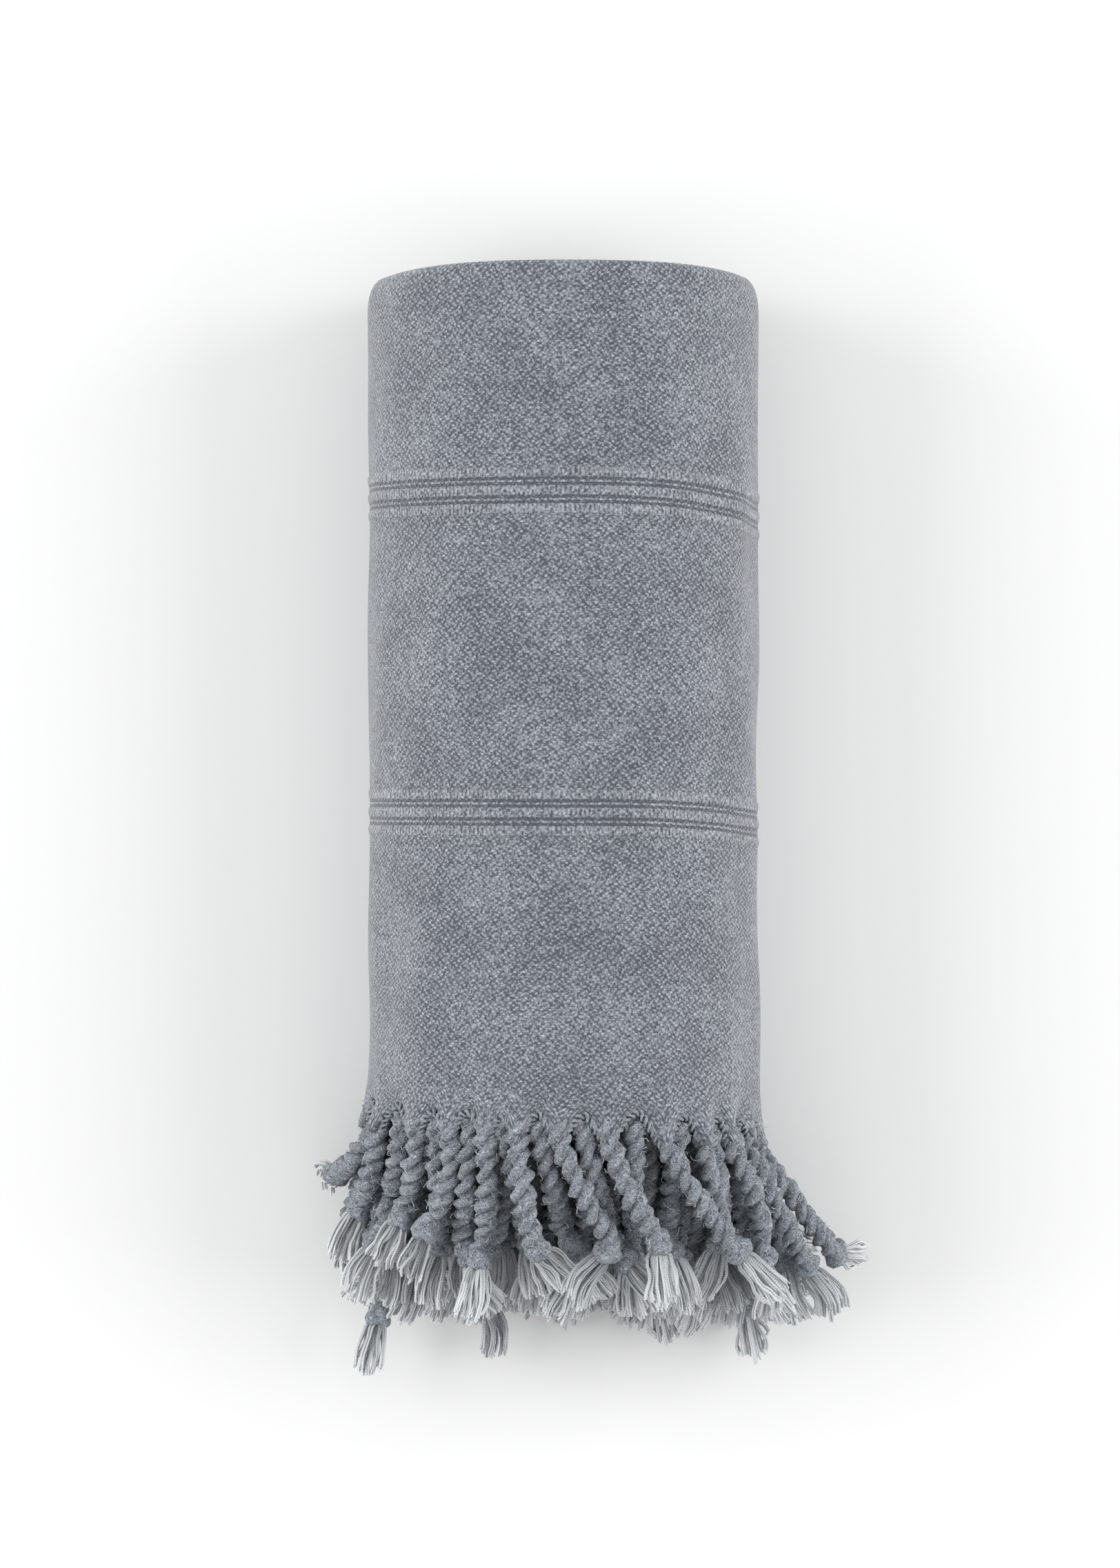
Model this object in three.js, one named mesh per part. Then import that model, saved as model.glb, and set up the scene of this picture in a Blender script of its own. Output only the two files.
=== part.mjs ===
// A thick cotton beach towel, folded into six layers and wound into a roll that lies on its side.
// Both of its fringed hems come out at one end of the roll, so two rows of twisted tassels spill
// from there onto the surface. Millimetres, +Z up, +Y along the roll from the fringe to the folds.

import * as THREE from 'three';

// Driving dimensions

const ROLL_LENGTH = 271.5;    // hem to fold
const CORE_RADIUS = 13;       // outer face of the six layers where the winding starts
const PACKET = 12.3;          // six layers of cloth with their slack
const TURNS = 4.556;          // turns of the six layers
const LOOSE_END = -80;        // where the outer end of the cloth lies, in degrees, from +X towards +Z
const TAPER = 60 / 360;       // the last part of a turn, where the six layers end one after another
const FLAT_DEPTH = 3;         // how far the roll settles at its underside
const FLAT_REACH = 16;        // how deep into the roll that is felt
const FLARE = 0.012;          // how much wider the roll is at its hem
const FLARE_REACH = 14;
const STEPS = 36;             // angular steps in one turn
const ROUNDING = 1e-9;        // of a turn, so that a whole number of turns counts as one

// The end with the folds: points across the six layers, as a share of their depth, and their height
const FOLD_PROFILE = [
  { depth: 0, rise: 0 },
  { depth: 0.14, rise: 7.5 },
  { depth: 0.45, rise: 12 },
  { depth: 0.86, rise: 7.5 },
];
const FOLD_SHOULDER = ROLL_LENGTH - 12;
// The end with the hems: two flush hems, then the folds that stay back
const HEM_PROFILE = [
  { depth: 0, rise: 0 },
  { depth: 0.34, rise: 0 },
  { depth: 0.6, rise: 4 },
];

// Two bands of three raised ribs, by the place of the middle rib
const BANDS = [98.6, 199.2];
const RIB_PITCH = 5.7;
const RIB_HEIGHT = 0.5;
// How far the cloth is pulled towards the fringe at the right and the left side of the roll
const PULLS = [
  { y: 0, right: 5, left: -2.2 },
  { y: BANDS[0], right: 4.2, left: 0 },
  { y: BANDS[1], right: 6.2, left: 0 },
  { y: FOLD_SHOULDER, right: 0, left: 0 },
];
const FIRST_RING = 14;        // the first ring of corners above the hem

// The hems: a narrow strip in front of each hem of the cloth, which carries its tassels
const HEM_GAP = 0.3;
const STRIP_WIDTH = 3;
const STRIP_THICKNESS = 1.1;
const STRIP_STEP = 14;        // widest step along a strip, in degrees
const HEMS = [
  { name: 'fringed_hem_outer', depth: 1, start: 0.174, end: 4.3, bend: 32, seed: 11 },
  { name: 'fringed_hem_inner', depth: 3.07, start: 0.19, end: 4.28, bend: 24, seed: 29 },
];
const TASSELS = 54;           // along the outer hem, before those at the top are set by hand

// A tassel: a rope of two plies, a knot, and a brush of cut yarn
const ROPE = 44;
const KNOT = 8;
const BRUSH = 16;
const ROPE_HALF = 2.6;
const ROPE_UNDER = 2.9;       // from the middle of a rope down to its underside
const KNOT_HALF = 3.9;
const NECK_HALF = 2.6;
const BRUSH_HALF_WIDTH = 5.8;
const BRUSH_HALF_DEPTH = 2;
const ROOT_HALF_WIDTH = 2.2;
const ROOT_LENGTH = 5;        // from the strip to the first full section of a rope
const LINE_TOLERANCE = 0.5;
const SLOPE_REACH = 5;        // half the stretch of a line that gives a section its slope

// How tassels fall, and how they pile up
const STEP = 2;
const STEEPEST = 75 * Math.PI / 180;
const STEEPEST_CLIMB = 30 * Math.PI / 180;
const CLEARANCE = 0.5;
const BEADS = {
  rope: { radius: 2.8, floor: ROPE_UNDER, sides: [0] },
  knot: { radius: 4, floor: KNOT_HALF, sides: [0] },
  brush: { radius: 2.2, floor: BRUSH_HALF_DEPTH, sides: [-3.6, 0, 3.6] },
};
const FAN = 16;               // heading of a tassel at the side of the roll, in degrees
const TURN_CHOICES = [0, -6, 6, -12, 12, -18, 18, -24, 24];
const TURN_COST = 0.04;       // millimetres of height that a degree of turning is worth
const PILE_SIDES = { left: -70, right: 76 };
const SMOOTHING = 14;         // rounds of smoothing of a line
const SEARCH_ROUNDS = 30;
const SPARE = 1.2;            // how much longer a line is laid before it is cut to its length
const FREE_LENGTH = 2 * STEP; // the start of a line that hangs from its root and lies on nothing
const FREE_POINTS = 3;        // and its points that smoothing leaves free of the pile
// Full ranges of chance: degrees, then shares of the bend and of the rope's length
const CHANCE = { heading: 24, bow: 26, flick: 50, bend: 0.4, rope: 0.2 };

// Tassels of the outer hem that show at the top of the roll, by the place of their root across the roll.
// Headings are in degrees, from straight out of the roll towards +X: at the root, the knot and the brush.
const TOP_TASSELS = [
  { x: -60.3, heading: -13, knot: -16, brush: -22, bend: 26, longer: 0.75 },
  { x: -48.5, heading: -6, knot: -10, brush: -24, bend: 22, longer: 0.65 },
  { x: -38.1, heading: 8, knot: -32, brush: -18, bend: 24, longer: 0.7 },
  { x: -26.8, heading: 4, knot: -8, brush: -10, bend: 36, longer: 0.92 },
  { x: -16.8, heading: 2, knot: 14, brush: 44, bend: 30, longer: 0.8 },
  { x: -4.4, heading: 20, knot: 34, brush: -38, bend: 36, longer: 0.9 },
  { x: 10.8, heading: 16, knot: 36, brush: 6, bend: 32, longer: 0.85 },
  { x: 27.6, heading: 28, knot: 38, brush: 42, bend: 40, longer: 1 },
  { x: 40.2, heading: 13, knot: 16, brush: -20, bend: 30, longer: 0.8 },
  { x: 48.6, heading: 34, knot: 4, brush: 5, bend: 34, longer: 0.95 },
  { x: 55, heading: 25, knot: 27, brush: 30, bend: 50, longer: 1.1 },
  { x: 58.2, heading: 33, knot: 38, brush: 66, bend: 60, longer: 1.05 },
];
const TOP_ARC = { from: 166, to: 2 };

// Tassels that lie out on the surface, by the place of their root under the roll
const LOW_TASSELS = [
  { x: -41, heading: -7, knot: -23, brush: -14, bend: 40, longer: 1.5 },
  { x: -27, heading: 4, knot: 4, brush: 12, bend: 40, longer: 1.27 },
  { x: 14, heading: 6, knot: 2, brush: 10, bend: 40, longer: 1.14 },
  { x: 47, heading: 9, knot: 0, brush: 11, bend: 40, longer: 1.22 },
];

const GREY = 0x83878e;

function radians(degrees) {
  return degrees * Math.PI / 180;
}

// Repeatable random numbers from 0 to 1
function makeRandom(seed) {
  let state = seed;
  return () => {
    state = (state * 16807) % 2147483647;
    return state / 2147483647;
  };
}

// The winding. "back" counts turns from the loose end inwards, so 0 is the loose end.

const OUTER_FACE = CORE_RADIUS + PACKET * TURNS;

function angleAt(back) {
  return radians(LOOSE_END) - back * 2 * Math.PI;
}

function lapOf(back) {
  return back - Math.floor(back + ROUNDING);
}

// How much of the six layers is there: none at the loose end, all of them past the taper
function fullness(back) {
  const share = Math.min(1, Math.max(0, back / TAPER));
  return share * share * (3 - 2 * share);
}

function faceRadius(back) {
  return OUTER_FACE - PACKET * back - PACKET * (1 - fullness(back));
}

function flareAt(y) {
  return 1 + FLARE * Math.exp(-Math.max(y, 0) / FLARE_REACH);
}

function lowestPoint() {
  let lowest = 0;
  for (let degree = 0; degree < 360; degree += 1) {
    const back = degree / 360;
    lowest = Math.min(lowest, faceRadius(back) * Math.sin(angleAt(back)));
  }
  return lowest;
}
const LOWEST = lowestPoint();

// A point of the roll, with its underside pressed flat on the surface
function place(back, radius, y) {
  const angle = angleAt(back);
  const outer = faceRadius(lapOf(back)) * flareAt(y);
  const flared = radius * flareAt(y);
  const outerHeight = outer * Math.sin(angle) - LOWEST;
  const lift = Math.max(0, FLAT_DEPTH - outerHeight) * Math.exp(-(outer - flared) / FLAT_REACH);
  const height = flared * Math.sin(angle) - LOWEST - FLAT_DEPTH + lift;
  return new THREE.Vector3(flared * Math.cos(angle), y, Math.max(0, height));
}

// How far the cloth is pulled towards the fringe: nothing at the top of the roll, most at its sides
function pullAt(back, y) {
  const across = Math.cos(angleAt(back));
  const side = across > 0 ? 'right' : 'left';
  const above = Math.max(1, PULLS.findIndex((row) => y <= row.y));
  const [from, to] = [PULLS[above - 1], PULLS[above]];
  const part = (y - from.y) / (to.y - from.y);
  return Math.abs(across) ** 3 * THREE.MathUtils.lerp(from[side], to[side], part);
}

// A mesh that grows by named corners and triangles
class MeshBuilder {
  constructor() {
    this.positions = [];
    this.triangles = [];
  }

  corner(point) {
    this.positions.push(point.x, point.y, point.z);
    return this.positions.length / 3 - 1;
  }

  triangle(a, b, c) {
    if (a !== b && b !== c && c !== a) {
      this.triangles.push(a, b, c);
    }
  }

  quad(a, b, c, d) {
    this.triangle(a, b, c);
    this.triangle(a, c, d);
  }

  geometry() {
    const geometry = new THREE.BufferGeometry();
    geometry.setAttribute('position', new THREE.Float32BufferAttribute(this.positions, 3));
    geometry.setIndex(this.triangles);
    geometry.computeVertexNormals();
    return geometry;
  }
}

function clothMaterial() {
  return new THREE.MeshStandardMaterial({ color: GREY, roughness: 0.95, metalness: 0 });
}

// The rolled cloth: one solid, with the spiral of its folds at one end and of its hems at the other

// Heights of the rings of points round the roll, between its two ends
function wallHeights() {
  const heights = [];
  for (const band of BANDS) {
    for (let half = -3; half <= 3; half += 1) {
      const onRib = half % 2 === 0;
      heights.push({ y: band + half * RIB_PITCH / 2, rib: onRib ? RIB_HEIGHT : 0 });
    }
  }
  heights.push({ y: (BANDS[1] + FOLD_SHOULDER) / 2, rib: 0 });
  heights.unshift({ y: FIRST_RING, rib: 0 });
  return heights;
}

// One end of the roll. Rows of corners run inwards along the spiral, and each row of one turn
// closes on the first row of the next turn in.
function addSpiralEnd(mesh, shoulder, profile, facesUp) {
  const last = Math.round(TURNS * STEPS);
  const core = mesh.corner(place(0, 0, shoulder + profile[profile.length - 1].rise / 2));
  const rows = profile.map(() => []);
  for (let step = 1; step <= last; step += 1) {
    const back = step / STEPS;
    const thickness = PACKET * fullness(back);
    profile.forEach(({ depth, rise }, row) => {
      if (step < last || row === 0) {
        const y = shoulder + rise * Math.sqrt(fullness(back)) - pullAt(back, shoulder);
        rows[row][step] = mesh.corner(place(back, faceRadius(back) - depth * thickness, y));
      }
    });
  }
  const cornerAt = (step, row) => {
    if (row === profile.length) {
      return step + STEPS <= last ? rows[0][step + STEPS] : core;
    }
    if (step === 0) {
      return rows[0][STEPS];
    }
    return step === last && row > 0 ? core : rows[row][step];
  };
  for (let step = 0; step < last; step += 1) {
    for (let row = 0; row < profile.length; row += 1) {
      const near = cornerAt(step, row);
      const next = cornerAt(step + 1, row);
      const nearIn = cornerAt(step, row + 1);
      const nextIn = cornerAt(step + 1, row + 1);
      if (facesUp) {
        mesh.triangle(near, next, nearIn);
        mesh.triangle(next, nextIn, nearIn);
      } else {
        mesh.triangle(near, nearIn, next);
        mesh.triangle(next, nearIn, nextIn);
      }
    }
  }
  const ring = [];
  for (let step = 0; step < STEPS; step += 1) {
    ring.push(cornerAt(step, 0));
  }
  return ring;
}

function makeRolledCloth() {
  const mesh = new MeshBuilder();
  const hemRing = addSpiralEnd(mesh, 0, HEM_PROFILE, false);
  const foldRing = addSpiralEnd(mesh, FOLD_SHOULDER, FOLD_PROFILE, true);
  const rings = [hemRing];
  for (const { y, rib } of wallHeights()) {
    const ring = [];
    for (let step = 0; step < STEPS; step += 1) {
      const back = step / STEPS;
      ring.push(mesh.corner(place(back, faceRadius(back) + rib, y - pullAt(back, y))));
    }
    rings.push(ring);
  }
  rings.push(foldRing);
  for (let level = 0; level + 1 < rings.length; level += 1) {
    for (let step = 0; step < STEPS; step += 1) {
      const after = (step + 1) % STEPS;
      mesh.quad(rings[level][step], rings[level][after], rings[level + 1][after], rings[level + 1][step]);
    }
  }
  const cloth = new THREE.Mesh(mesh.geometry(), clothMaterial());
  cloth.name = 'rolled_cloth';
  return cloth;
}

// Tassel roots, by their place "back" along the spiral of their hem

function hemRadius(hem, back) {
  return faceRadius(back) - hem.depth;
}

// Length along the spiral of a hem, from where back would be 0
function hemLength(hem, back) {
  return 2 * Math.PI * ((OUTER_FACE - hem.depth) * back - PACKET * back * back / 2);
}

function backAtLength(hem, length) {
  const start = OUTER_FACE - hem.depth;
  return (start - Math.sqrt(start * start - PACKET * length / Math.PI)) / PACKET;
}

function evenRoots(hem) {
  const first = hemLength(hem, hem.start);
  const pitch = (hemLength(hem, hem.end) - first) / TASSELS;
  const roots = [];
  for (let index = 0; index < TASSELS; index += 1) {
    roots.push({ back: backAtLength(hem, first + (index + 0.5) * pitch) });
  }
  return roots;
}

// The place on the outer turn of a hem that lies at x across the roll, above or below its middle
function backAtX(hem, x, above) {
  let back = hem.start;
  for (let round = 0; round < SEARCH_ROUNDS; round += 1) {
    const angle = Math.acos(x / hemRadius(hem, back)) * 180 / Math.PI;
    const turns = (LOOSE_END - (above ? angle : -angle)) / 360;
    back = turns + Math.ceil(hem.start - turns);
  }
  return back;
}

function onTopArc(back) {
  const degrees = LOOSE_END + 360 * (1 - back);
  return degrees > TOP_ARC.to && degrees < TOP_ARC.from;
}

// The roots of the outer hem, with the shape of a tassel where that is set by hand
function outerRoots(hem) {
  const roots = evenRoots(hem).filter((root) => !onTopArc(root.back));
  for (const shape of TOP_TASSELS) {
    roots.push({ back: backAtX(hem, shape.x, true), shape });
  }
  for (const shape of LOW_TASSELS) {
    const back = backAtX(hem, shape.x, false);
    const nearest = roots.reduce((a, b) => (Math.abs(a.back - back) < Math.abs(b.back - back) ? a : b));
    nearest.shape = shape;
  }
  return roots.sort((a, b) => a.back - b.back);
}

// The roots of the inner hem lie half-way between those of the outer hem
function innerRoots(outer) {
  return outer.slice(1).map((root, index) => ({ back: (outer[index].back + root.back) / 2 }));
}

// The pile: for each kind of bead, the lowest height at which its middle clears all that lies there

const PILE = { left: -140, front: -130, columns: 281, rows: 151 };

class Pile {
  constructor() {
    this.heights = {};
    for (const kind of Object.keys(BEADS)) {
      this.heights[kind] = new Float64Array(PILE.columns * PILE.rows);
    }
  }

  add(kind, x, y, z) {
    for (const [other, bead] of Object.entries(BEADS)) {
      const reach = BEADS[kind].radius + bead.radius + CLEARANCE;
      const heights = this.heights[other];
      for (let column = Math.ceil(x - reach); column <= x + reach; column += 1) {
        for (let row = Math.ceil(y - reach); row <= y + reach; row += 1) {
          const rest = reach * reach - (column - x) ** 2 - (row - y) ** 2;
          if (rest > 0) {
            const index = (row - PILE.front) * PILE.columns + column - PILE.left;
            heights[index] = Math.max(heights[index], z + Math.sqrt(rest));
          }
        }
      }
    }
  }

  // Height between the four nearest marks of the pile
  support(kind, x, y) {
    const column = Math.floor(x);
    const row = Math.floor(y);
    const right = x - column;
    const up = y - row;
    const heights = this.heights[kind];
    const index = (row - PILE.front) * PILE.columns + column - PILE.left;
    const low = heights[index] * (1 - right) + heights[index + 1] * right;
    const next = index + PILE.columns;
    const high = heights[next] * (1 - right) + heights[next + 1] * right;
    return low * (1 - up) + high * up;
  }
}

// The shape of a tassel: where it heads along its length, and how stiffly it bends
function kindAt(length, tassel) {
  if (length < tassel.rope) {
    return 'rope';
  }
  return length < tassel.rope + KNOT ? 'knot' : 'brush';
}

function headingAt(length, tassel) {
  const along = length / tassel.rope;
  const towardsKnot = tassel.heading + (tassel.knot - tassel.heading) * Math.min(1, along);
  const past = (length - tassel.rope) / KNOT;
  const towardsBrush = Math.min(1, Math.max(0, past));
  return radians(towardsKnot + (tassel.brush - tassel.knot) * towardsBrush);
}

function restHeight(pile, length, tassel, x, y) {
  const heading = headingAt(length, tassel);
  const kind = kindAt(length, tassel);
  let rest = BEADS[kind].floor;
  for (const side of BEADS[kind].sides) {
    const support = pile.support(kind, x + side * Math.cos(heading), y + side * Math.sin(heading));
    rest = Math.max(rest, support);
  }
  return rest;
}

// The line of a tassel: it leaves its root level, bends down, and lies on what it meets
function fall(pile, root, tassel) {
  const points = [root.clone()];
  const total = (tassel.rope + KNOT + BRUSH) * SPARE;
  let dip = 0;
  for (let length = STEP; length <= total; length += STEP) {
    const from = points[points.length - 1];
    const heading = headingAt(length, tassel);
    dip = Math.min(STEEPEST, dip + STEP / tassel.bend);
    const flat = STEP * Math.cos(dip);
    const x = from.x + flat * Math.sin(heading);
    const y = from.y - flat * Math.cos(heading);
    const free = from.z - STEP * Math.sin(dip);
    const rest = length < FREE_LENGTH ? 0 : restHeight(pile, length, tassel, x, y);
    const z = Math.max(free, Math.min(rest, from.z + STEP * Math.sin(STEEPEST_CLIMB)));
    if (z > free) {
      dip = Math.asin(Math.min(1, (from.z - z) / STEP));
    }
    points.push(new THREE.Vector3(x, y, z));
  }
  smoothLine(points, pile, tassel);
  return cutLine(points, tassel.rope + KNOT + BRUSH);
}

// Rounds the line off where it can be, and lifts it clear of the pile where it must be
function smoothLine(points, pile, tassel) {
  for (let pass = 0; pass < SMOOTHING; pass += 1) {
    let length = 0;
    for (let index = 1; index + 1 < points.length; index += 1) {
      const here = points[index];
      length += here.distanceTo(points[index - 1]);
      const mean = (points[index - 1].z + points[index + 1].z) / 2;
      const rest = index < FREE_POINTS ? 0 : restHeight(pile, length, tassel, here.x, here.y);
      here.z = Math.max((here.z + mean) / 2, rest);
    }
  }
}

function cutLine(points, total) {
  const line = [points[0]];
  let length = 0;
  for (let index = 1; index < points.length; index += 1) {
    const step = points[index].distanceTo(points[index - 1]);
    if (length + step >= total) {
      line.push(points[index - 1].clone().lerp(points[index], (total - length) / step));
      return line;
    }
    length += step;
    line.push(points[index]);
  }
  return line;
}

function meanHeight(line) {
  return line.reduce((sum, point) => sum + point.z, 0) / line.length;
}

// How far a line strays past the sides of the pile
function overhang(line) {
  const end = line[line.length - 1].x;
  return Math.max(0, end - PILE_SIDES.right, PILE_SIDES.left - end);
}

// A tassel with the shape that chance gives it, or the one set by hand
function shapeTassel(hem, root, start, random) {
  const chance = (range) => (random() - 0.5) * range;
  const heading = FAN * start.x / OUTER_FACE + chance(CHANCE.heading);
  const knot = heading + chance(CHANCE.bow);
  const brush = knot + chance(CHANCE.flick);
  const bend = hem.bend * (1 + chance(CHANCE.bend));
  const rope = ROPE * (1 + chance(CHANCE.rope));
  if (root.shape) {
    return { ...root.shape, rope: ROPE * root.shape.longer };
  }
  return { heading, knot, brush, bend, rope };
}

function everyTassel() {
  const outer = outerRoots(HEMS[0]);
  const rootsOfHems = [outer, innerRoots(outer)];
  const tassels = [];
  for (const [index, hem] of HEMS.entries()) {
    const random = makeRandom(hem.seed);
    for (const root of rootsOfHems[index]) {
      const front = -HEM_GAP - STRIP_WIDTH - pullAt(root.back, 0);
      const start = place(root.back, hemRadius(hem, root.back), front);
      const tassel = shapeTassel(hem, root, start, random);
      tassels.push({ hem, back: root.back, start, tassel, free: !root.shape });
    }
  }
  return tassels.sort((a, b) => a.start.z - b.start.z);
}

// Lays all tassels down, the lowest roots first, so that each lies on those under it. A tassel that
// isn't set by hand turns a little to the side where it comes to lie lowest.
function layTassels() {
  const pile = new Pile();
  const laid = [];
  for (const item of everyTassel()) {
    let best = { cost: Infinity };
    for (const turn of item.free ? TURN_CHOICES : [0]) {
      const { heading, knot, brush } = item.tassel;
      const tassel = { ...item.tassel, heading: heading + turn, knot: knot + turn, brush: brush + turn };
      const line = fall(pile, item.start, tassel);
      const cost = meanHeight(line) + TURN_COST * Math.abs(turn) + overhang(line);
      if (cost < best.cost) {
        best = { cost, line, tassel };
      }
    }
    const { line, tassel } = best;
    laid.push({ hem: item.hem, back: item.back, line, tassel });
    addToPile(pile, line, tassel);
  }
  return laid;
}

function addToPile(pile, line, tassel) {
  let length = 0;
  line.forEach((point, index) => {
    length += index > 0 ? point.distanceTo(line[index - 1]) : 0;
    const kind = kindAt(length, tassel);
    const heading = headingAt(length, tassel);
    for (const side of BEADS[kind].sides) {
      pile.add(kind, point.x + side * Math.cos(heading), point.y + side * Math.sin(heading), point.z);
    }
  });
}

// A fringed hem: the strip with one tube grown out of it for each tassel

function pointAlong(line, length) {
  let passed = 0;
  for (let index = 1; index < line.length; index += 1) {
    const step = line[index].distanceTo(line[index - 1]);
    if (passed + step >= length) {
      return line[index - 1].clone().lerp(line[index], (length - passed) / step);
    }
    passed += step;
  }
  return line[line.length - 1].clone();
}

// Lengths along a rope at which its line needs a corner to stay within the tolerance
function cornersBetween(line, from, to, tolerance) {
  const start = pointAlong(line, from);
  const chord = new THREE.Line3(start, pointAlong(line, to));
  const nearest = new THREE.Vector3();
  let worst = { miss: 0, length: from };
  for (let length = from + STEP; length < to; length += STEP) {
    const point = pointAlong(line, length);
    const miss = chord.closestPointToPoint(point, true, nearest).distanceTo(point);
    if (miss > worst.miss) {
      worst = { miss, length };
    }
  }
  if (worst.miss <= tolerance) {
    return [];
  }
  return [
    ...cornersBetween(line, from, worst.length, tolerance),
    worst.length,
    ...cornersBetween(line, worst.length, to, tolerance),
  ];
}

function tasselSections(line, rope) {
  const bends = cornersBetween(line, ROOT_LENGTH, rope, LINE_TOLERANCE);
  const sections = [];
  for (const length of [ROOT_LENGTH, ...bends, rope]) {
    sections.push({ length, wide: ROPE_HALF, up: ROPE_HALF, down: ROPE_UNDER });
  }
  sections.push({ length: rope + KNOT / 2, wide: KNOT_HALF, up: KNOT_HALF, down: KNOT_HALF });
  sections.push({ length: rope + KNOT, wide: NECK_HALF, up: NECK_HALF, down: NECK_HALF });
  sections.push({
    length: rope + KNOT + BRUSH,
    wide: BRUSH_HALF_WIDTH,
    up: BRUSH_HALF_DEPTH,
    down: BRUSH_HALF_DEPTH,
  });
  return sections;
}

function sectionCorners(mesh, line, tassel, section) {
  const middle = pointAlong(line, section.length);
  const ahead = pointAlong(line, section.length + SLOPE_REACH);
  const behind = pointAlong(line, section.length - SLOPE_REACH);
  const forward = ahead.sub(behind).normalize();
  const heading = headingAt(section.length, tassel);
  const across = new THREE.Vector3(Math.cos(heading), Math.sin(heading), 0);
  const upward = new THREE.Vector3().crossVectors(across, forward).normalize();
  if (upward.z < 0) {
    upward.negate();
  }
  const offsets = [
    across.clone().multiplyScalar(section.wide),
    upward.clone().multiplyScalar(section.up),
    across.clone().multiplyScalar(-section.wide),
    upward.clone().multiplyScalar(-section.down),
  ];
  return offsets.map((offset) => {
    const corner = middle.clone().add(offset);
    corner.z = Math.max(0, corner.z);
    return { point: corner, index: mesh.corner(corner) };
  });
}

// Turns a ring of four corners so that it starts nearest to the first corner of the ring before
function alignRing(before, ring) {
  let best = { sum: Infinity, shift: 0 };
  for (let shift = 0; shift < 4; shift += 1) {
    let sum = 0;
    before.forEach((corner, index) => {
      sum += corner.point.distanceTo(ring[(index + shift) % 4].point);
    });
    if (sum < best.sum) {
      best = { sum, shift };
    }
  }
  return ring.map((_, index) => ring[(index + best.shift) % 4]);
}

function addTassel(mesh, root, line, tassel) {
  let before = root;
  for (const section of tasselSections(line, tassel.rope)) {
    const ring = alignRing(before, sectionCorners(mesh, line, tassel, section));
    for (let side = 0; side < 4; side += 1) {
      const next = (side + 1) % 4;
      mesh.quad(before[side].index, before[next].index, ring[next].index, ring[side].index);
    }
    before = ring;
  }
  mesh.quad(before[0].index, before[1].index, before[2].index, before[3].index);
}

// Places along a strip that need a ring of corners: both sides of every tassel, and more on tight turns
function stripStations(hem, tassels) {
  const stations = [{ back: hem.start }];
  for (const item of tassels) {
    const half = ROOT_HALF_WIDTH / (hemRadius(hem, item.back) * 2 * Math.PI);
    stations.push({ back: item.back - half }, { back: item.back + half, item });
  }
  stations.push({ back: hem.end });
  const all = [stations[0]];
  for (const station of stations.slice(1)) {
    const previous = all[all.length - 1].back;
    const pieces = station.item ? 1 : Math.ceil((station.back - previous) * 360 / STRIP_STEP);
    for (let piece = 1; piece < pieces; piece += 1) {
      all.push({ back: previous + (station.back - previous) * piece / pieces });
    }
    all.push(station);
  }
  return all;
}

function makeFringedHem(hem, laid) {
  const mesh = new MeshBuilder();
  const tassels = laid.filter((item) => item.hem === hem).sort((a, b) => a.back - b.back);
  const rings = stripStations(hem, tassels).map(({ back, item }) => {
    const outer = hemRadius(hem, back) + STRIP_THICKNESS / 2;
    const inner = outer - STRIP_THICKNESS;
    const behind = -HEM_GAP - pullAt(back, 0);
    const front = behind - STRIP_WIDTH;
    const points = [
      place(back, outer, behind),
      place(back, outer, front),
      place(back, inner, front),
      place(back, inner, behind),
    ];
    return { item, corners: points.map((point) => ({ point, index: mesh.corner(point) })) };
  });
  rings.forEach((ring, index) => {
    if (index === 0) {
      return;
    }
    const from = rings[index - 1].corners;
    const to = ring.corners;
    for (let side = 0; side < 4; side += 1) {
      const next = (side + 1) % 4;
      if (side === 1 && ring.item) {
        const root = [from[side], from[next], to[next], to[side]];
        addTassel(mesh, root, ring.item.line, ring.item.tassel);
      } else {
        mesh.quad(from[side].index, from[next].index, to[next].index, to[side].index);
      }
    }
  });
  const [a, b, c, d] = rings[0].corners;
  mesh.quad(d.index, c.index, b.index, a.index);
  const [e, f, g, h] = rings[rings.length - 1].corners;
  mesh.quad(e.index, f.index, g.index, h.index);
  const fringe = new THREE.Mesh(mesh.geometry(), clothMaterial());
  fringe.name = hem.name;
  return fringe;
}

// The towel, with its origin under the middle of its box

function makeTowel() {
  const towel = new THREE.Group();
  towel.add(makeRolledCloth());
  const laid = layTassels();
  for (const hem of HEMS) {
    towel.add(makeFringedHem(hem, laid));
  }
  const box = new THREE.Box3().setFromObject(towel);
  const middle = box.getCenter(new THREE.Vector3());
  towel.position.set(-middle.x, -middle.y, -box.min.z);
  return towel;
}

export default makeTowel();
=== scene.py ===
"""A rolled beach towel: wound cloth with two ribbed bands, and two fringes of twisted, knotted tassels."""

import functools
import math
from dataclasses import dataclass, field

import bpy
import numpy as np
from bpy.props import FloatProperty, FloatVectorProperty, IntProperty, PointerProperty
from mathutils import Matrix, Vector


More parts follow.
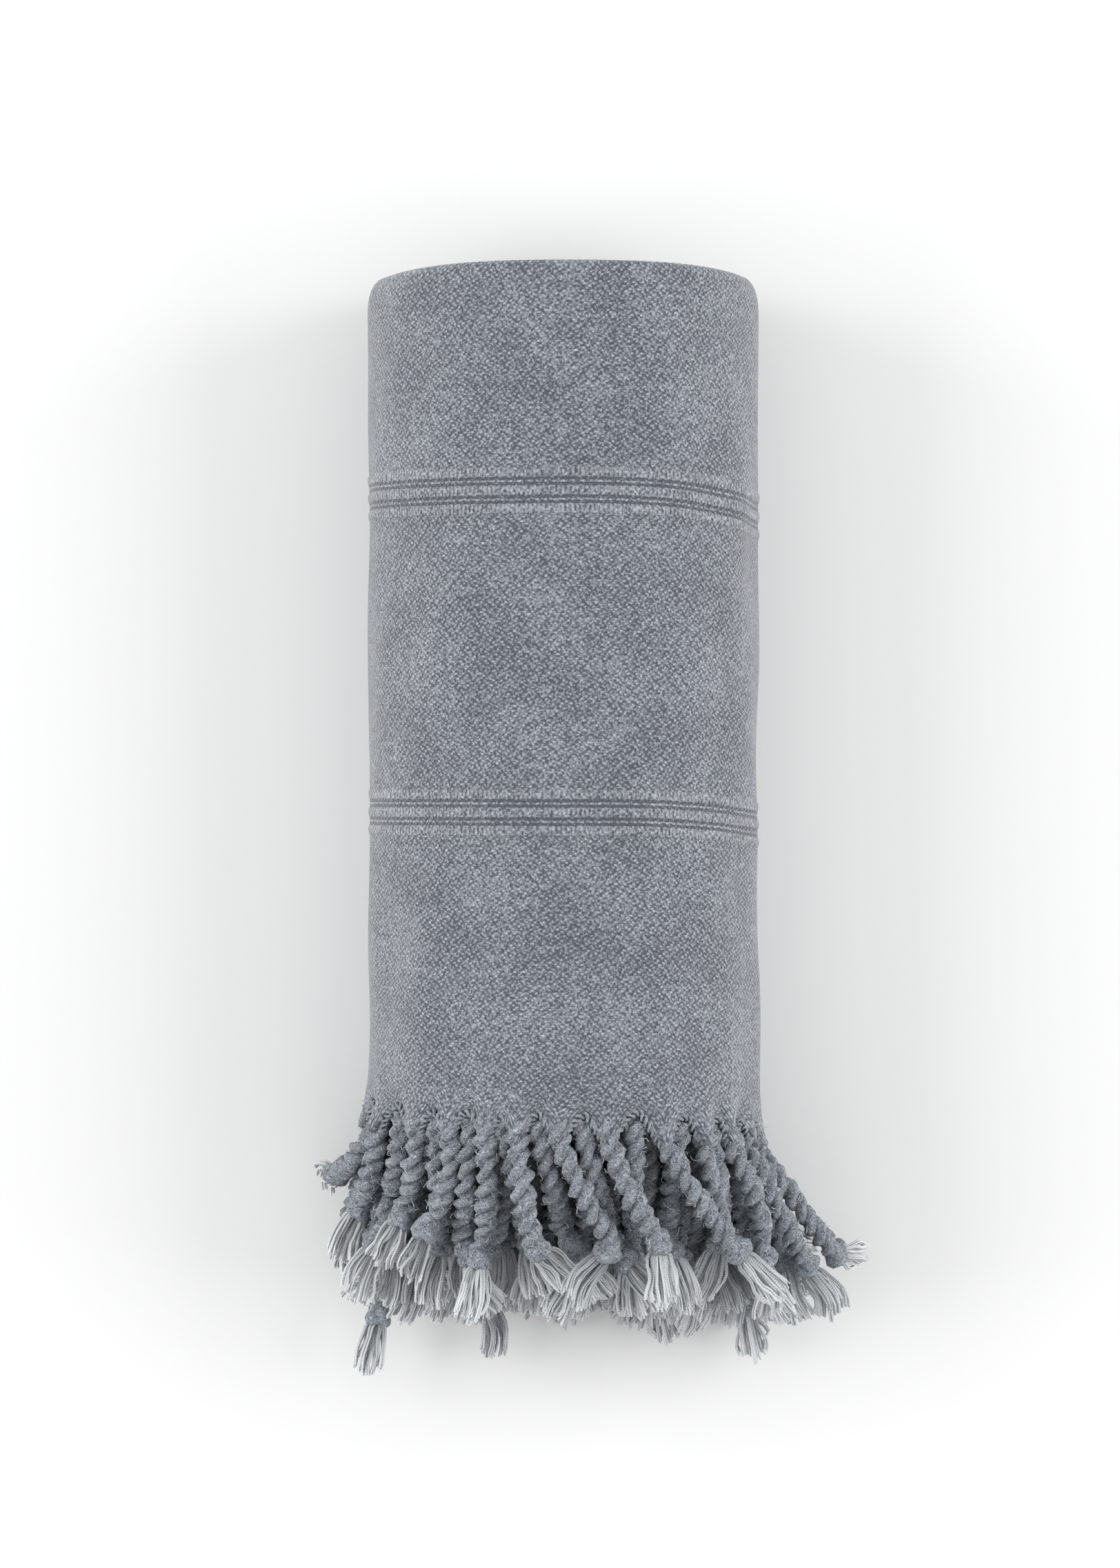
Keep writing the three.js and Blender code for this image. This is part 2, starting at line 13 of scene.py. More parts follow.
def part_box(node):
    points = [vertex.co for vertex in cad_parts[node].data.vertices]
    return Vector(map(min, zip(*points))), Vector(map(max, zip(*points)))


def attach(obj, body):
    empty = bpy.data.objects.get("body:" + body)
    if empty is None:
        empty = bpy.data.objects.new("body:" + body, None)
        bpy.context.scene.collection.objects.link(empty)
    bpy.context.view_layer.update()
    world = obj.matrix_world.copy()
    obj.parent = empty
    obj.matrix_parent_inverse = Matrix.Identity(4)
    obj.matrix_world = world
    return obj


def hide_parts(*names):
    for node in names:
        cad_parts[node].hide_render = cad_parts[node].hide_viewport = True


bl_info = {
    "name": "Rolled beach towel",
    "version": (1, 0, 0),
    "blender": (4, 5, 0),
    "location": "View3D > Sidebar > Towel",
    "description": "Makes a folded and rolled towel with a fringe of twisted tassels",
    "category": "Object",
}

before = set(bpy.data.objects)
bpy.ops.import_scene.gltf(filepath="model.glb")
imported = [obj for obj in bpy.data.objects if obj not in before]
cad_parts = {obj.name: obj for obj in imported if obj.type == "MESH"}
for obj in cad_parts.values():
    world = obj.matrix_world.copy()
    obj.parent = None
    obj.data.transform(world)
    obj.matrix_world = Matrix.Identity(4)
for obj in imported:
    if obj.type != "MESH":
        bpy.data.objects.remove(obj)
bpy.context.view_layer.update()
BODY = "root"
MM = 0.001
TURN = 2 * math.pi

# The roll, in millimetres, from +Y at its folds to -Y at its fringe. These are the solids' own sizes.
ROLL_LENGTH = 271.5
CORE_RADIUS = 13
PACKET = 12.3                 # six layers of cloth with their slack
TURNS = 4.556
LOOSE_END = -80               # degrees, from +X towards +Z
TAPER = 60 / 360              # of a turn, in which the layers end one after another
FLAT_DEPTH = 3
FLAT_REACH = 16
FLARE = 0.012
FLARE_REACH = 14
STEPS = 36
ROUNDING = 1e-9
FOLD_SHOULDER = ROLL_LENGTH - 12
BANDS = (98.6, 199.2)
RIB_PITCH = 5.7
PULLS = (                     # how far the cloth is pulled to the fringe at the right and left sides
    (0, 5, -2.2),
    (BANDS[0], 4.2, 0),
    (BANDS[1], 6.2, 0),
    (FOLD_SHOULDER, 0, 0),
)
OUTER_FACE = CORE_RADIUS + PACKET * TURNS

# The hems and the tassels on them
HEM_GAP = 0.3
STRIP_WIDTH = 3
TASSELS = 54
ROPE = 44
KNOT = 8
BRUSH = 16
ROPE_UNDER = 2.9
KNOT_HALF = 3.9
BRUSH_HALF_WIDTH = 5.8
BRUSH_HALF_DEPTH = 2
STEP = 2
STEEPEST = 75 * math.pi / 180
STEEPEST_CLIMB = 30 * math.pi / 180
CLEARANCE = 0.5
FAN = 16
TURN_CHOICES = (0, -6, 6, -12, 12, -18, 18, -24, 24)
TURN_COST = 0.04
PILE_LEFT_SIDE = -70
PILE_RIGHT_SIDE = 76
SMOOTHING = 14
SEARCH_ROUNDS = 30
SPARE = 1.2
FREE_LENGTH = 2 * STEP
FREE_POINTS = 3
CHANCE = {"heading": 24, "bow": 26, "flick": 50, "bend": 0.4, "rope": 0.2}
TOP_ARC = (2, 166)
PILE_LEFT = -140
PILE_FRONT = -130
PILE_COLUMNS = 281
PILE_ROWS = 151


@dataclass
class Hem:
    """One hem of the cloth: how deep it lies in the layers, and the part of the spiral that shows."""

    name: str
    depth: float
    start: float
    end: float
    bend: float
    seed: int


@dataclass
class Tassel:
    """Where a tassel heads at its root, knot and brush, how stiffly it bends, and its rope's length."""

    heading: float
    knot: float
    brush: float
    bend: float
    rope: float

    def turned(self, turn):
        return Tassel(self.heading + turn, self.knot + turn, self.brush + turn, self.bend, self.rope)


@dataclass
class Root:
    """A tassel's place on the spiral, with the tassel's shape where that is listed."""

    back: float
    shape: Tassel = None


@dataclass
class Bead:
    """The room that one stretch of a tassel takes in the pile."""

    radius: float
    floor: float
    sides: tuple = (0,)


@dataclass
class LaidTassel:
    """A tassel on its hem, with the line that it follows."""

    hem: Hem
    back: float
    tassel: Tassel
    line: list = field(default_factory=list)


OUTER_HEM = Hem("outer", 1, 0.174, 4.3, 32, 11)
INNER_HEM = Hem("inner", 3.07, 0.19, 4.28, 24, 29)
BEADS = {
    "rope": Bead(2.8, ROPE_UNDER),
    "knot": Bead(4, KNOT_HALF),
    "brush": Bead(2.2, BRUSH_HALF_DEPTH, (-3.6, 0, 3.6)),
}

# Tassels given one by one: the place across the roll, the headings, the bend and the share of a rope's length
TOP_TASSELS = (
    (-60.3, -13, -16, -22, 26, 0.75),
    (-48.5, -6, -10, -24, 22, 0.65),
    (-38.1, 8, -32, -18, 24, 0.7),
    (-26.8, 4, -8, -10, 36, 0.92),
    (-16.8, 2, 14, 44, 30, 0.8),
    (-4.4, 20, 34, -38, 36, 0.9),
    (10.8, 16, 36, 6, 32, 0.85),
    (27.6, 28, 38, 42, 40, 1),
    (40.2, 13, 16, -20, 30, 0.8),
    (48.6, 34, 4, 5, 34, 0.95),
    (55, 25, 27, 30, 50, 1.1),
    (58.2, 33, 38, 66, 60, 1.05),
)
LOW_TASSELS = (
    (-41, -7, -23, -14, 40, 1.5),
    (-27, 4, 4, 12, 40, 1.27),
    (14, 6, 2, 10, 40, 1.14),
    (47, 9, 0, 11, 40, 1.22),
)


# The winding. "back" counts turns from the loose end inwards.

def smooth_step(share):
    share = np.clip(share, 0, 1)
    return share * share * (3 - 2 * share)


def angle_at(back):
    return math.radians(LOOSE_END) - back * TURN


def lap_of(back):
    return back - np.floor(back + ROUNDING)


def face_radius(back):
    """Radius of the outer face of the layers, which drops to the turn below at the loose end."""
    return OUTER_FACE - PACKET * back - PACKET * (1 - smooth_step(back / TAPER))


def flare_at(y):
    return 1 + FLARE * np.exp(-np.maximum(y, 0) / FLARE_REACH)


def lowest_point():
    backs = np.arange(360) / 360
    return min(0, np.min(face_radius(backs) * np.sin(angle_at(backs))))


LOWEST = lowest_point()


def place(back, radius, y):
    """A point of the roll, with its underside pressed flat on the surface."""
    angle = angle_at(back)
    outer = face_radius(lap_of(back)) * flare_at(y)
    flared = radius * flare_at(y)
    outer_height = outer * np.sin(angle) - LOWEST
    lift = np.maximum(0, FLAT_DEPTH - outer_height) * np.exp(-(outer - flared) / FLAT_REACH)
    height = flared * np.sin(angle) - LOWEST - FLAT_DEPTH + lift
    return np.stack(np.broadcast_arrays(flared * np.cos(angle), y, np.maximum(0, height)), axis=-1)


def pull_at(back, y):
    """How far the cloth is pulled to the fringe: nothing at the top of the roll, most at its sides."""
    across = np.cos(angle_at(back))
    heights = [row[0] for row in PULLS]
    right = np.interp(y, heights, [row[1] for row in PULLS])
    left = np.interp(y, heights, [row[2] for row in PULLS])
    return np.abs(across) ** 3 * np.where(across > 0, right, left)


def roll_shift():
    """From the roll's own coordinates to the frame's, by the lowest corner of the solid roll."""
    backs = np.arange(STEPS) / STEPS
    corners = place(backs, face_radius(backs), -pull_at(backs, 0.0))
    return np.array(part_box("rolled_cloth")[0]) / MM - np.array([*corners.min(axis=0)[:2], 0])


SHIFT = roll_shift()


def in_frame(points):
    return (np.asarray(points) + SHIFT) * MM


# Where the tassels have their roots

def hem_radius(hem, back):
    return face_radius(back) - hem.depth


def hem_length(hem, back):
    return TURN * ((OUTER_FACE - hem.depth) * back - PACKET * back * back / 2)


def back_at_length(hem, length):
    start = OUTER_FACE - hem.depth
    return (start - math.sqrt(start * start - PACKET * length / math.pi)) / PACKET


def even_roots(hem):
    first = hem_length(hem, hem.start)
    pitch = (hem_length(hem, hem.end) - first) / TASSELS
    return [Root(back_at_length(hem, first + (index + 0.5) * pitch)) for index in range(TASSELS)]


def back_at_x(hem, x, above):
    """The place on the outer turn of a hem that lies at x across the roll."""
    back = hem.start
    for _ in range(SEARCH_ROUNDS):
        angle = math.acos(x / hem_radius(hem, back)) * 180 / math.pi
        turns = (LOOSE_END - (angle if above else -angle)) / 360
        back = turns + math.ceil(hem.start - turns)
    return float(back)


def on_top_arc(back):
    degrees = LOOSE_END + 360 * (1 - back)
    return TOP_ARC[0] < degrees < TOP_ARC[1]


def hand_set(row):
    _, heading, knot, brush, bend, longer = row
    return Tassel(heading, knot, brush, bend, ROPE * longer)


@functools.lru_cache
def outer_roots():
    roots = [root for root in even_roots(OUTER_HEM) if not on_top_arc(root.back)]
    for row in TOP_TASSELS:
        roots.append(Root(back_at_x(OUTER_HEM, row[0], True), hand_set(row)))
    for row in LOW_TASSELS:
        back = back_at_x(OUTER_HEM, row[0], False)
        nearest = min(reversed(roots), key=lambda root: abs(root.back - back))
        nearest.shape = hand_set(row)
    return sorted(roots, key=lambda root: root.back)


@functools.lru_cache
def inner_roots():
    """The roots of the inner hem lie half-way between those of the outer hem."""
    outer = outer_roots()
    return [Root((before.back + after.back) / 2) for before, after in zip(outer, outer[1:])]


# The pile: for each kind of bead, the lowest height at which its middle clears all that lies there

class Pile:
    """A map of heights that grows as tassels are laid on it."""

    def __init__(self):
        self.flat = {kind: np.zeros(PILE_COLUMNS * PILE_ROWS) for kind in BEADS}
        self.grids = {kind: flat.reshape(PILE_ROWS, PILE_COLUMNS) for kind, flat in self.flat.items()}
        self.marks = {kind: memoryview(flat) for kind, flat in self.flat.items()}

    def add(self, kind, x, y, z):
        for other, bead in BEADS.items():
            reach = BEADS[kind].radius + bead.radius + CLEARANCE
            columns = np.arange(math.ceil(x - reach), math.floor(x + reach) + 1)
            rows = np.arange(math.ceil(y - reach), math.floor(y + reach) + 1)
            rest = reach * reach - ((columns - x) ** 2)[None, :] - ((rows - y) ** 2)[:, None]
            top = np.where(rest > 0, z + np.sqrt(np.maximum(rest, 0)), 0)
            low, left = rows[0] - PILE_FRONT, columns[0] - PILE_LEFT
            block = self.grids[other][low:low + len(rows), left:left + len(columns)]
            np.maximum(block, top, out=block)

    def support(self, kind, x, y):
        """Height between the four nearest marks of the pile."""
        column, row = math.floor(x), math.floor(y)
        right, up = x - column, y - row
        marks = self.marks[kind]
        index = (row - PILE_FRONT) * PILE_COLUMNS + column - PILE_LEFT
        low = marks[index] * (1 - right) + marks[index + 1] * right
        index += PILE_COLUMNS
        high = marks[index] * (1 - right) + marks[index + 1] * right
        return low * (1 - up) + high * up


def kind_at(length, tassel):
    if length < tassel.rope:
        return "rope"
    return "knot" if length < tassel.rope + KNOT else "brush"


def heading_at(length, tassel):
    along = min(1, length / tassel.rope)
    past = min(1, max(0, (length - tassel.rope) / KNOT))
    towards_knot = tassel.heading + (tassel.knot - tassel.heading) * along
    return math.radians(towards_knot + (tassel.brush - tassel.knot) * past)


def rest_height(pile, length, tassel, x, y):
    heading = heading_at(length, tassel)
    kind = kind_at(length, tassel)
    rest = BEADS[kind].floor
    for side in BEADS[kind].sides:
        support = pile.support(kind, x + side * math.cos(heading), y + side * math.sin(heading))
        rest = max(rest, support)
    return rest


def fall(pile, root, tassel):
    """The line of a tassel: it leaves its root level, bends down, and lies on what it meets."""
    points = [list(root)]
    total = (tassel.rope + KNOT + BRUSH) * SPARE
    dip = 0
    length = STEP
    while length <= total:
        from_x, from_y, from_z = points[-1]
        heading = heading_at(length, tassel)
        dip = min(STEEPEST, dip + STEP / tassel.bend)
        flat = STEP * math.cos(dip)
        x = from_x + flat * math.sin(heading)
        y = from_y - flat * math.cos(heading)
        free = from_z - STEP * math.sin(dip)
        rest = 0 if length < FREE_LENGTH else rest_height(pile, length, tassel, x, y)
        z = max(free, min(rest, from_z + STEP * math.sin(STEEPEST_CLIMB)))
        if z > free:
            dip = math.asin(min(1, (from_z - z) / STEP))
        points.append([x, y, z])
        length += STEP
    smooth_line(points, pile, tassel)
    return cut_line(points, tassel.rope + KNOT + BRUSH)


def smooth_line(points, pile, tassel):
    """Rounds the line off where it can be, and lifts it clear of the pile where it must be."""
    for _ in range(SMOOTHING):
        length = 0
        for index in range(1, len(points) - 1):
            here = points[index]
            length += math.dist(here, points[index - 1])
            mean = (points[index - 1][2] + points[index + 1][2]) / 2
            rest = 0 if index < FREE_POINTS else rest_height(pile, length, tassel, here[0], here[1])
            here[2] = max((here[2] + mean) / 2, rest)


def cut_line(points, total):
    line = [points[0]]
    length = 0
    for before, point in zip(points, points[1:]):
        step = math.dist(point, before)
        if length + step >= total:
            share = (total - length) / step
            line.append([a + (b - a) * share for a, b in zip(before, point)])
            return line
        length += step
        line.append(point)
    return line


def overhang(line):
    """How far a line strays past the sides of the pile."""
    end = line[-1][0]
    return max(0, end - PILE_RIGHT_SIDE, PILE_LEFT_SIDE - end)


MULTIPLIER = 16807
MODULUS = 2147483647


def make_random(seed):
    """Repeatable random numbers from 0 to 1."""
    state = seed
    while True:
        state = state * MULTIPLIER % MODULUS
        yield state / MODULUS


def shape_tassel(hem, root, start, numbers):
    def chance(size):
        return (next(numbers) - 0.5) * size

    heading = FAN * start[0] / OUTER_FACE + chance(CHANCE["heading"])
    knot = heading + chance(CHANCE["bow"])
    brush = knot + chance(CHANCE["flick"])
    bend = hem.bend * (1 + chance(CHANCE["bend"]))
    rope = ROPE * (1 + chance(CHANCE["rope"]))
    return root.shape or Tassel(heading, knot, brush, bend, rope)


def every_tassel():
    tassels = []
    for hem, roots in ((OUTER_HEM, outer_roots()), (INNER_HEM, inner_roots())):
        numbers = make_random(hem.seed)
        for root in roots:
            front = -HEM_GAP - STRIP_WIDTH - float(pull_at(root.back, 0))
            start = place(root.back, hem_radius(hem, root.back), front).tolist()
            tassel = shape_tassel(hem, root, start, numbers)
            tassels.append((hem, root, start, tassel))
    return sorted(tassels, key=lambda item: item[2][2])


@functools.lru_cache
def lay_tassels():
    """Lays all tassels down, the lowest roots first, so that each lies on those under it."""
    pile = Pile()
    laid = []
    for hem, root, start, shape in every_tassel():
        best = None
        for turn in ((0,) if root.shape else TURN_CHOICES):
            tassel = shape.turned(turn)
            line = fall(pile, start, tassel)
            mean_height = sum(point[2] for point in line) / len(line)
            cost = mean_height + TURN_COST * abs(turn) + overhang(line)
            if best is None or cost < best[0]:
                best = (cost, line, tassel)
        _, line, tassel = best
        laid.append(LaidTassel(hem, root.back, tassel, line))
        add_to_pile(pile, line, tassel)
    return laid


def add_to_pile(pile, line, tassel):
    length = 0
    for index, point in enumerate(line):
        length += math.dist(point, line[index - 1]) if index else 0
        kind = kind_at(length, tassel)
        heading = heading_at(length, tassel)
        for side in BEADS[kind].sides:
            x = point[0] + side * math.cos(heading)
            y = point[1] + side * math.sin(heading)
            pile.add(kind, x, y, point[2])


# Hems, with the cloth drawn in to each tassel

HEM_REACH = 5                 # how far up the cloth the scallops of a hem are felt
HEM_DIP = 4.8                 # how far a hem reaches to the fringe at a root
HEM_RISE = 4.2                # and how far it stays back between two roots
HEM_WAVER = 0.6
HEM_PINCH = 0.4               # how much narrower the cloth is where it runs into a tassel
HEM_LIFT = 2.2                # how far the cloth bulges there


def root_backs(hem):
    return [root.back for root in (outer_roots() if hem is OUTER_HEM else inner_roots())]


def off_root(hem, back):
    """How far a place lies from the nearest tassel's root, as a share of the way to the next root."""
    roots = root_backs(hem)
    share = np.interp(back, roots, np.arange(len(roots)))
    return share - np.round(share)


def between_roots(hem, back):
    """0 at a tassel's root, 1 half-way between two roots, with the arch of a drawn-in hem."""
    return np.sin(np.pi * np.abs(off_root(hem, back))) ** 1.2


def pinched(hem, back, amount):
    """Moves places near a root closer to it."""
    roots = root_backs(hem)
    share = np.interp(back, roots, np.arange(len(roots)))
    off = share - np.round(share)
    nearer = share - amount * off * (1 - 2 * np.abs(off))
    within = (back > roots[0]) & (back < roots[-1])
    return np.where(within, np.interp(nearer, np.arange(len(roots)), roots), back)


WAVE_PARTS = (1, 0.53, 0.31, 0.17)
WAVE_CHANCE = (0.85, 1.15)


def waver(length, size, seed, longest=60):
    """A smooth uneven line: a few waves of chance lengths added up."""
    chance = np.random.default_rng(seed)
    total = np.zeros_like(length, dtype=float)
    for part in WAVE_PARTS:
        wave = longest * part * chance.uniform(*WAVE_CHANCE)
        total += size * math.sqrt(part) * np.sin(TURN * length / wave + chance.uniform(0, TURN))
    return total


def hem_edge(hem, back):
    """Where the edge of a hem lies along the roll, before the pull."""
    between = between_roots(hem, back)
    uneven = waver(hem_length(hem, back), HEM_WAVER, hem.seed, 30)
    return HEM_RISE * between - HEM_DIP * (1 - between) + uneven


# The cloth: one sheet that runs through six layers, from one hem to the other

LAYERS = 6
LAYER_ORDER = (1, 4, 5, 6, 3, 2)
FOLDS = (                     # apex along the roll, length of the rounding, points of the rounding
    (ROLL_LENGTH - 1, 9.5, 11),
    (6.2, 4, 5),
    (ROLL_LENGTH - 5, 4, 7),
    (3.6, 7, 7),
    (ROLL_LENGTH - 5, 4, 5),
)
ROUGH_MARKS = (0, 8, 40)      # points of a hidden layer, from each of its ends
HEM_ZONE = 30
HEM_ZONE_STEP = 1.5
WALL_STEP = 5
BAND_ZONE = 10.4
BAND_STEP = 0.8
MARK_SPACING = 0.35
FINE_TURNS = 1.06             # how far in the cloth is finely divided
SEEN_ARC = (0.24, 0.82)
SEEN_STEP = 1.5 / 360
UNSEEN_STEP = 3.5 / 360
SECOND_TURN_STEP = 5 / 360
INNER_STEP = 7.5 / 360
SIDE_DROP = 2.4               # how much lower the folded end lies at the roll's sides
FOLD_UNEVEN = 0.5
INNER_FOLD_UNEVEN = 1.6
FOLD_ZONE = 30
RIB_HALF = 1.15
UNDULATION = 0.16

# Creases near the hem: both ends as places across and along the roll, then depth and half width
CREASES = (
    ((-53, 13), (-39, -2), 0.9, 1.7),
    ((-57, 17), (-63, 2), 0.7, 1.8),
    ((44, 9), (47, -2), 0.7, 1.6),
    ((56, 14), (51, 0), 0.8, 1.8),
    ((-22, 9), (-25, -1), 0.35, 1.5),
    ((20, 10), (17, -1), 0.35, 1.5),
)


@dataclass
class Mark:
    """A point of the path along the cloth: its depth in the layers, its place along the roll."""

    depth: float
    y: float
    fine: bool = False
    outside: float = 0        # 1 on the layer that shows
    hem: Hem = None


def layer_depth(number):
    return (number - 0.5) / LAYERS


def first_layer_marks(end):
    """Marks up the layer that shows, close together at the hem and at the bands."""
    rough = [*ROUGH_MARKS, *(end - mark for mark in reversed(ROUGH_MARKS))]
    zones = [np.arange(0, HEM_ZONE, HEM_ZONE_STEP), np.arange(HEM_ZONE, end, WALL_STEP)]
    zones += [np.arange(band - BAND_ZONE, band + BAND_ZONE, BAND_STEP) for band in BANDS]
    marks = [Mark(layer_depth(1), y, outside=1) for y in rough]
    for y in np.concatenate(zones[::-1]):
        if all(abs(y - mark.y) > MARK_SPACING for mark in marks):
            marks.append(Mark(layer_depth(1), float(y), fine=True, outside=1))
    return sorted(marks, key=lambda mark: mark.y)


def layer_marks(number, start, end):
    way = 1 if end > start else -1
    heights = [start + way * mark for mark in ROUGH_MARKS]
    heights += [end - way * mark for mark in reversed(ROUGH_MARKS)]
    return [Mark(layer_depth(number), y) for y in heights]


def fold_marks(number, following, fold, base):
    apex, _, count = fold
    near, far = layer_depth(number), layer_depth(following)
    marks = []
    for index in range(1, count + 1):
        turn = math.pi * index / (count + 1)
        depth = (near + far) / 2 + (near - far) / 2 * math.cos(turn)
        outside = max(0, math.cos(turn)) if number == 1 else 0
        marks.append(Mark(depth, base + (apex - base) * math.sin(turn), outside=outside))
    return marks


def cloth_path():
    bases = [apex - reach if apex > reach * 2 else apex + reach for apex, reach, _ in FOLDS]
    marks = first_layer_marks(bases[0])
    for index, (fold, base) in enumerate(zip(FOLDS, bases)):
        number, following = LAYER_ORDER[index:index + 2]
        marks += fold_marks(number, following, fold, base)
        end = bases[index + 1] if index + 1 < len(bases) else 0.0
        marks += layer_marks(following, base, end)
    marks[0].hem = OUTER_HEM
    marks[-1].hem = INNER_HEM
    return marks


def cloth_columns():
    """Places along the winding with a column of points, and how many of them are finely divided."""
    columns = [0.0]
    while columns[-1] < TURNS:
        here = columns[-1]
        if here < FINE_TURNS:
            step = SEEN_STEP if SEEN_ARC[0] < here < SEEN_ARC[1] else UNSEEN_STEP
        else:
            step = SECOND_TURN_STEP if here < 2 else INNER_STEP
        columns.append(here + step)
    columns[-1] = TURNS
    columns = np.array(columns)
    for back in root_backs(OUTER_HEM):
        if SEEN_ARC[0] < back < SEEN_ARC[1]:
            nearest = int(np.argmin(np.abs(columns - back)))
            columns[nearest] = back
    return columns, int(np.searchsorted(columns, FINE_TURNS))


def layer_start(depth):
    """The inner layers stop short of the loose end, and the outer one covers them."""
    return TAPER * (0.5 - np.sin(np.arcsin(1 - 2 * depth) / 3))


def rib_relief(y):
    total = np.zeros_like(y)
    for band in BANDS:
        for number in (-1, 0, 1):
            total += np.exp(-((y - band - number * RIB_PITCH) / RIB_HALF) ** 4)
    return total


def undulation(length, y):
    """Soft unevenness of the wall, from a few flat waves in chance directions."""
    chance = np.random.default_rng(5)
    total = 0
    for _ in range(9):
        wave = chance.uniform(16, 58)
        turn = chance.uniform(0, math.pi)
        total = total + UNDULATION * np.sin(
            TURN * (length * math.cos(turn) + y * math.sin(turn)) / wave + chance.uniform(0, TURN))
    return total


def crease_relief(across, y):
    total = np.zeros_like(y)
    for start, end, depth, half in CREASES:
        run = np.subtract(end, start)
        share = ((across - start[0]) * run[0] + (y - start[1]) * run[1]) / run.dot(run)
        share = np.clip(share, 0, 1)
        off = np.hypot(across - start[0] - share * run[0], y - start[1] - share * run[1])
        fade = 1 - 0.7 * (1 - share) ** 2
        total -= depth * fade * (np.exp(-(off / half) ** 2) - 0.45 * np.exp(-((off - 2 * half) / half) ** 2))
    return total


def own_layer(hem, marks):
    """1 at the marks of the layer that ends in this hem."""
    depth = layer_depth(1 if hem is OUTER_HEM else 2)
    return np.array([float(mark.depth == depth) for mark in marks])[None, :]


def cloth_points(marks, columns, rib_height):
    """Every point of the cloth's middle face, a row for each column of the winding."""
    depth = np.array([mark.depth for mark in marks])[None, :]
    y = np.array([mark.y for mark in marks])[None, :]
    outside = np.array([mark.outside for mark in marks])[None, :]
    base = columns[:, None]
    back = base + layer_start(depth) * (1 - smooth_step(base / (2 * TAPER)))
    for hem in (OUTER_HEM, INNER_HEM):
        own = own_layer(hem, marks)
        back = pinched(hem, back, own * HEM_PINCH * np.exp(-y / HEM_REACH))
    length = hem_length(OUTER_HEM, back)
    seen = outside * (1 - smooth_step((base - 1) / (FINE_TURNS - 1)))
    level = y + np.zeros_like(back)
    for hem in (OUTER_HEM, INNER_HEM):
        level = level + own_layer(hem, marks) * hem_edge(hem, back) * np.exp(-y / HEM_REACH)
    near_fold = smooth_step((y - ROLL_LENGTH + FOLD_ZONE) / FOLD_ZONE)
    uneven = FOLD_UNEVEN * outside + INNER_FOLD_UNEVEN * (1 - outside) * smooth_step(base - 0.6)
    level = level + near_fold * uneven * waver(length, 1, 17, 90) / 2
    level = level - near_fold * SIDE_DROP * np.abs(np.cos(angle_at(back))) ** 4
    relief = rib_height * rib_relief(y) * np.ones_like(back) + undulation(length, y)
    across = np.cos(angle_at(back)) * face_radius(back)
    above = np.sin(angle_at(back)) > 0
    relief = relief + above * crease_relief(across, level)
    gather = HEM_LIFT * (1.35 - 2 * between_roots(OUTER_HEM, back)) * np.exp(-y / HEM_REACH)
    radius = face_radius(back) - PACKET * depth + seen * (relief + gather)
    return place(back, radius, level - pull_at(back, level))


def path_lengths(marks):
    """How far along the cloth each mark is, in metres."""
    places = np.array([(mark.y, mark.depth * PACKET) for mark in marks])
    steps = np.hypot(*np.diff(places, axis=0).T)
    return np.concatenate([[0], np.cumsum(steps)]) * MM


def strips_between(count, fine, rough_rows):
    """Rows of the points that two neighbouring columns join, as pairs of chains."""
    if fine == (True, True):
        return [([row, row + 1], [row, row + 1]) for row in range(count - 1)]
    chains = []
    for low, high in zip(rough_rows, rough_rows[1:]):
        between = list(range(low, high + 1))
        chains.append((between if fine[0] else [low, high], [low, high]))
    return chains


def make_cloth_mesh(thickness, rib_height):
    marks = cloth_path()
    columns, fine_count = cloth_columns()
    points = in_frame(cloth_points(marks, columns, rib_height))
    points[..., 2] = np.maximum(points[..., 2], thickness / 2)
    rough_rows = [row for row, mark in enumerate(marks) if not mark.fine]
    count = len(marks)
    numbers = np.full((len(columns), count), -1)
    verts = []
    for column in range(len(columns)):
        rows = range(count) if column < fine_count else rough_rows
        for row in rows:
            numbers[column, row] = len(verts)
            verts.append(points[column, row])
    faces = []
    for column in range(len(columns) - 1):
        fine = (column < fine_count, column + 1 < fine_count)
        for near, far in strips_between(count, fine, rough_rows):
            corners = [numbers[column, row] for row in near]
            corners += [numbers[column + 1, row] for row in reversed(far)]
            faces.append([int(corner) for corner in corners])
    mesh = bpy.data.meshes.new("towel_cloth")
    mesh.from_pydata([tuple(point) for point in verts], [], faces)
    lengths = path_lengths(marks)
    across = hem_length(OUTER_HEM, columns) * MM
    flat = np.zeros((len(verts), 2))
    for column in range(len(columns)):
        there = numbers[column] >= 0
        flat[numbers[column][there], 0] = across[column]
        flat[numbers[column][there], 1] = lengths[there]
    layer = mesh.uv_layers.new(name="weave")
    corners = np.zeros(len(mesh.loops), dtype=int)
    mesh.loops.foreach_get("vertex_index", corners)
    layer.uv.foreach_set("vector", flat[corners].ravel())
    return mesh


# Paths that Geometry Nodes grow strands along

class Paths:
    """A mesh of open or closed lines, with one value of each attribute for every point."""

    def __init__(self, *attributes):
        self.points = []
        self.edges = []
        self.values = {name: [] for name in attributes}

    def add(self, points, closed=False, **values):
        first = len(self.points)
        count = len(points)
        self.points.extend(tuple(point) for point in points)
        self.edges.extend((first + index, first + index + 1) for index in range(count - 1))
        if closed:
            self.edges.append((first + count - 1, first))
        for name, value in values.items():
            self.values[name].extend(np.broadcast_to(value, count).tolist())

    def make(self, name):
        mesh = bpy.data.meshes.new(name)
        mesh.from_pydata(self.points, self.edges, [])
        for attribute, values in self.values.items():
            layer = mesh.attributes.new(attribute, "FLOAT", "POINT")
            layer.data.foreach_set("value", values)
        piece = bpy.data.objects.new(name, mesh)
        bpy.context.scene.collection.objects.link(piece)
        return piece


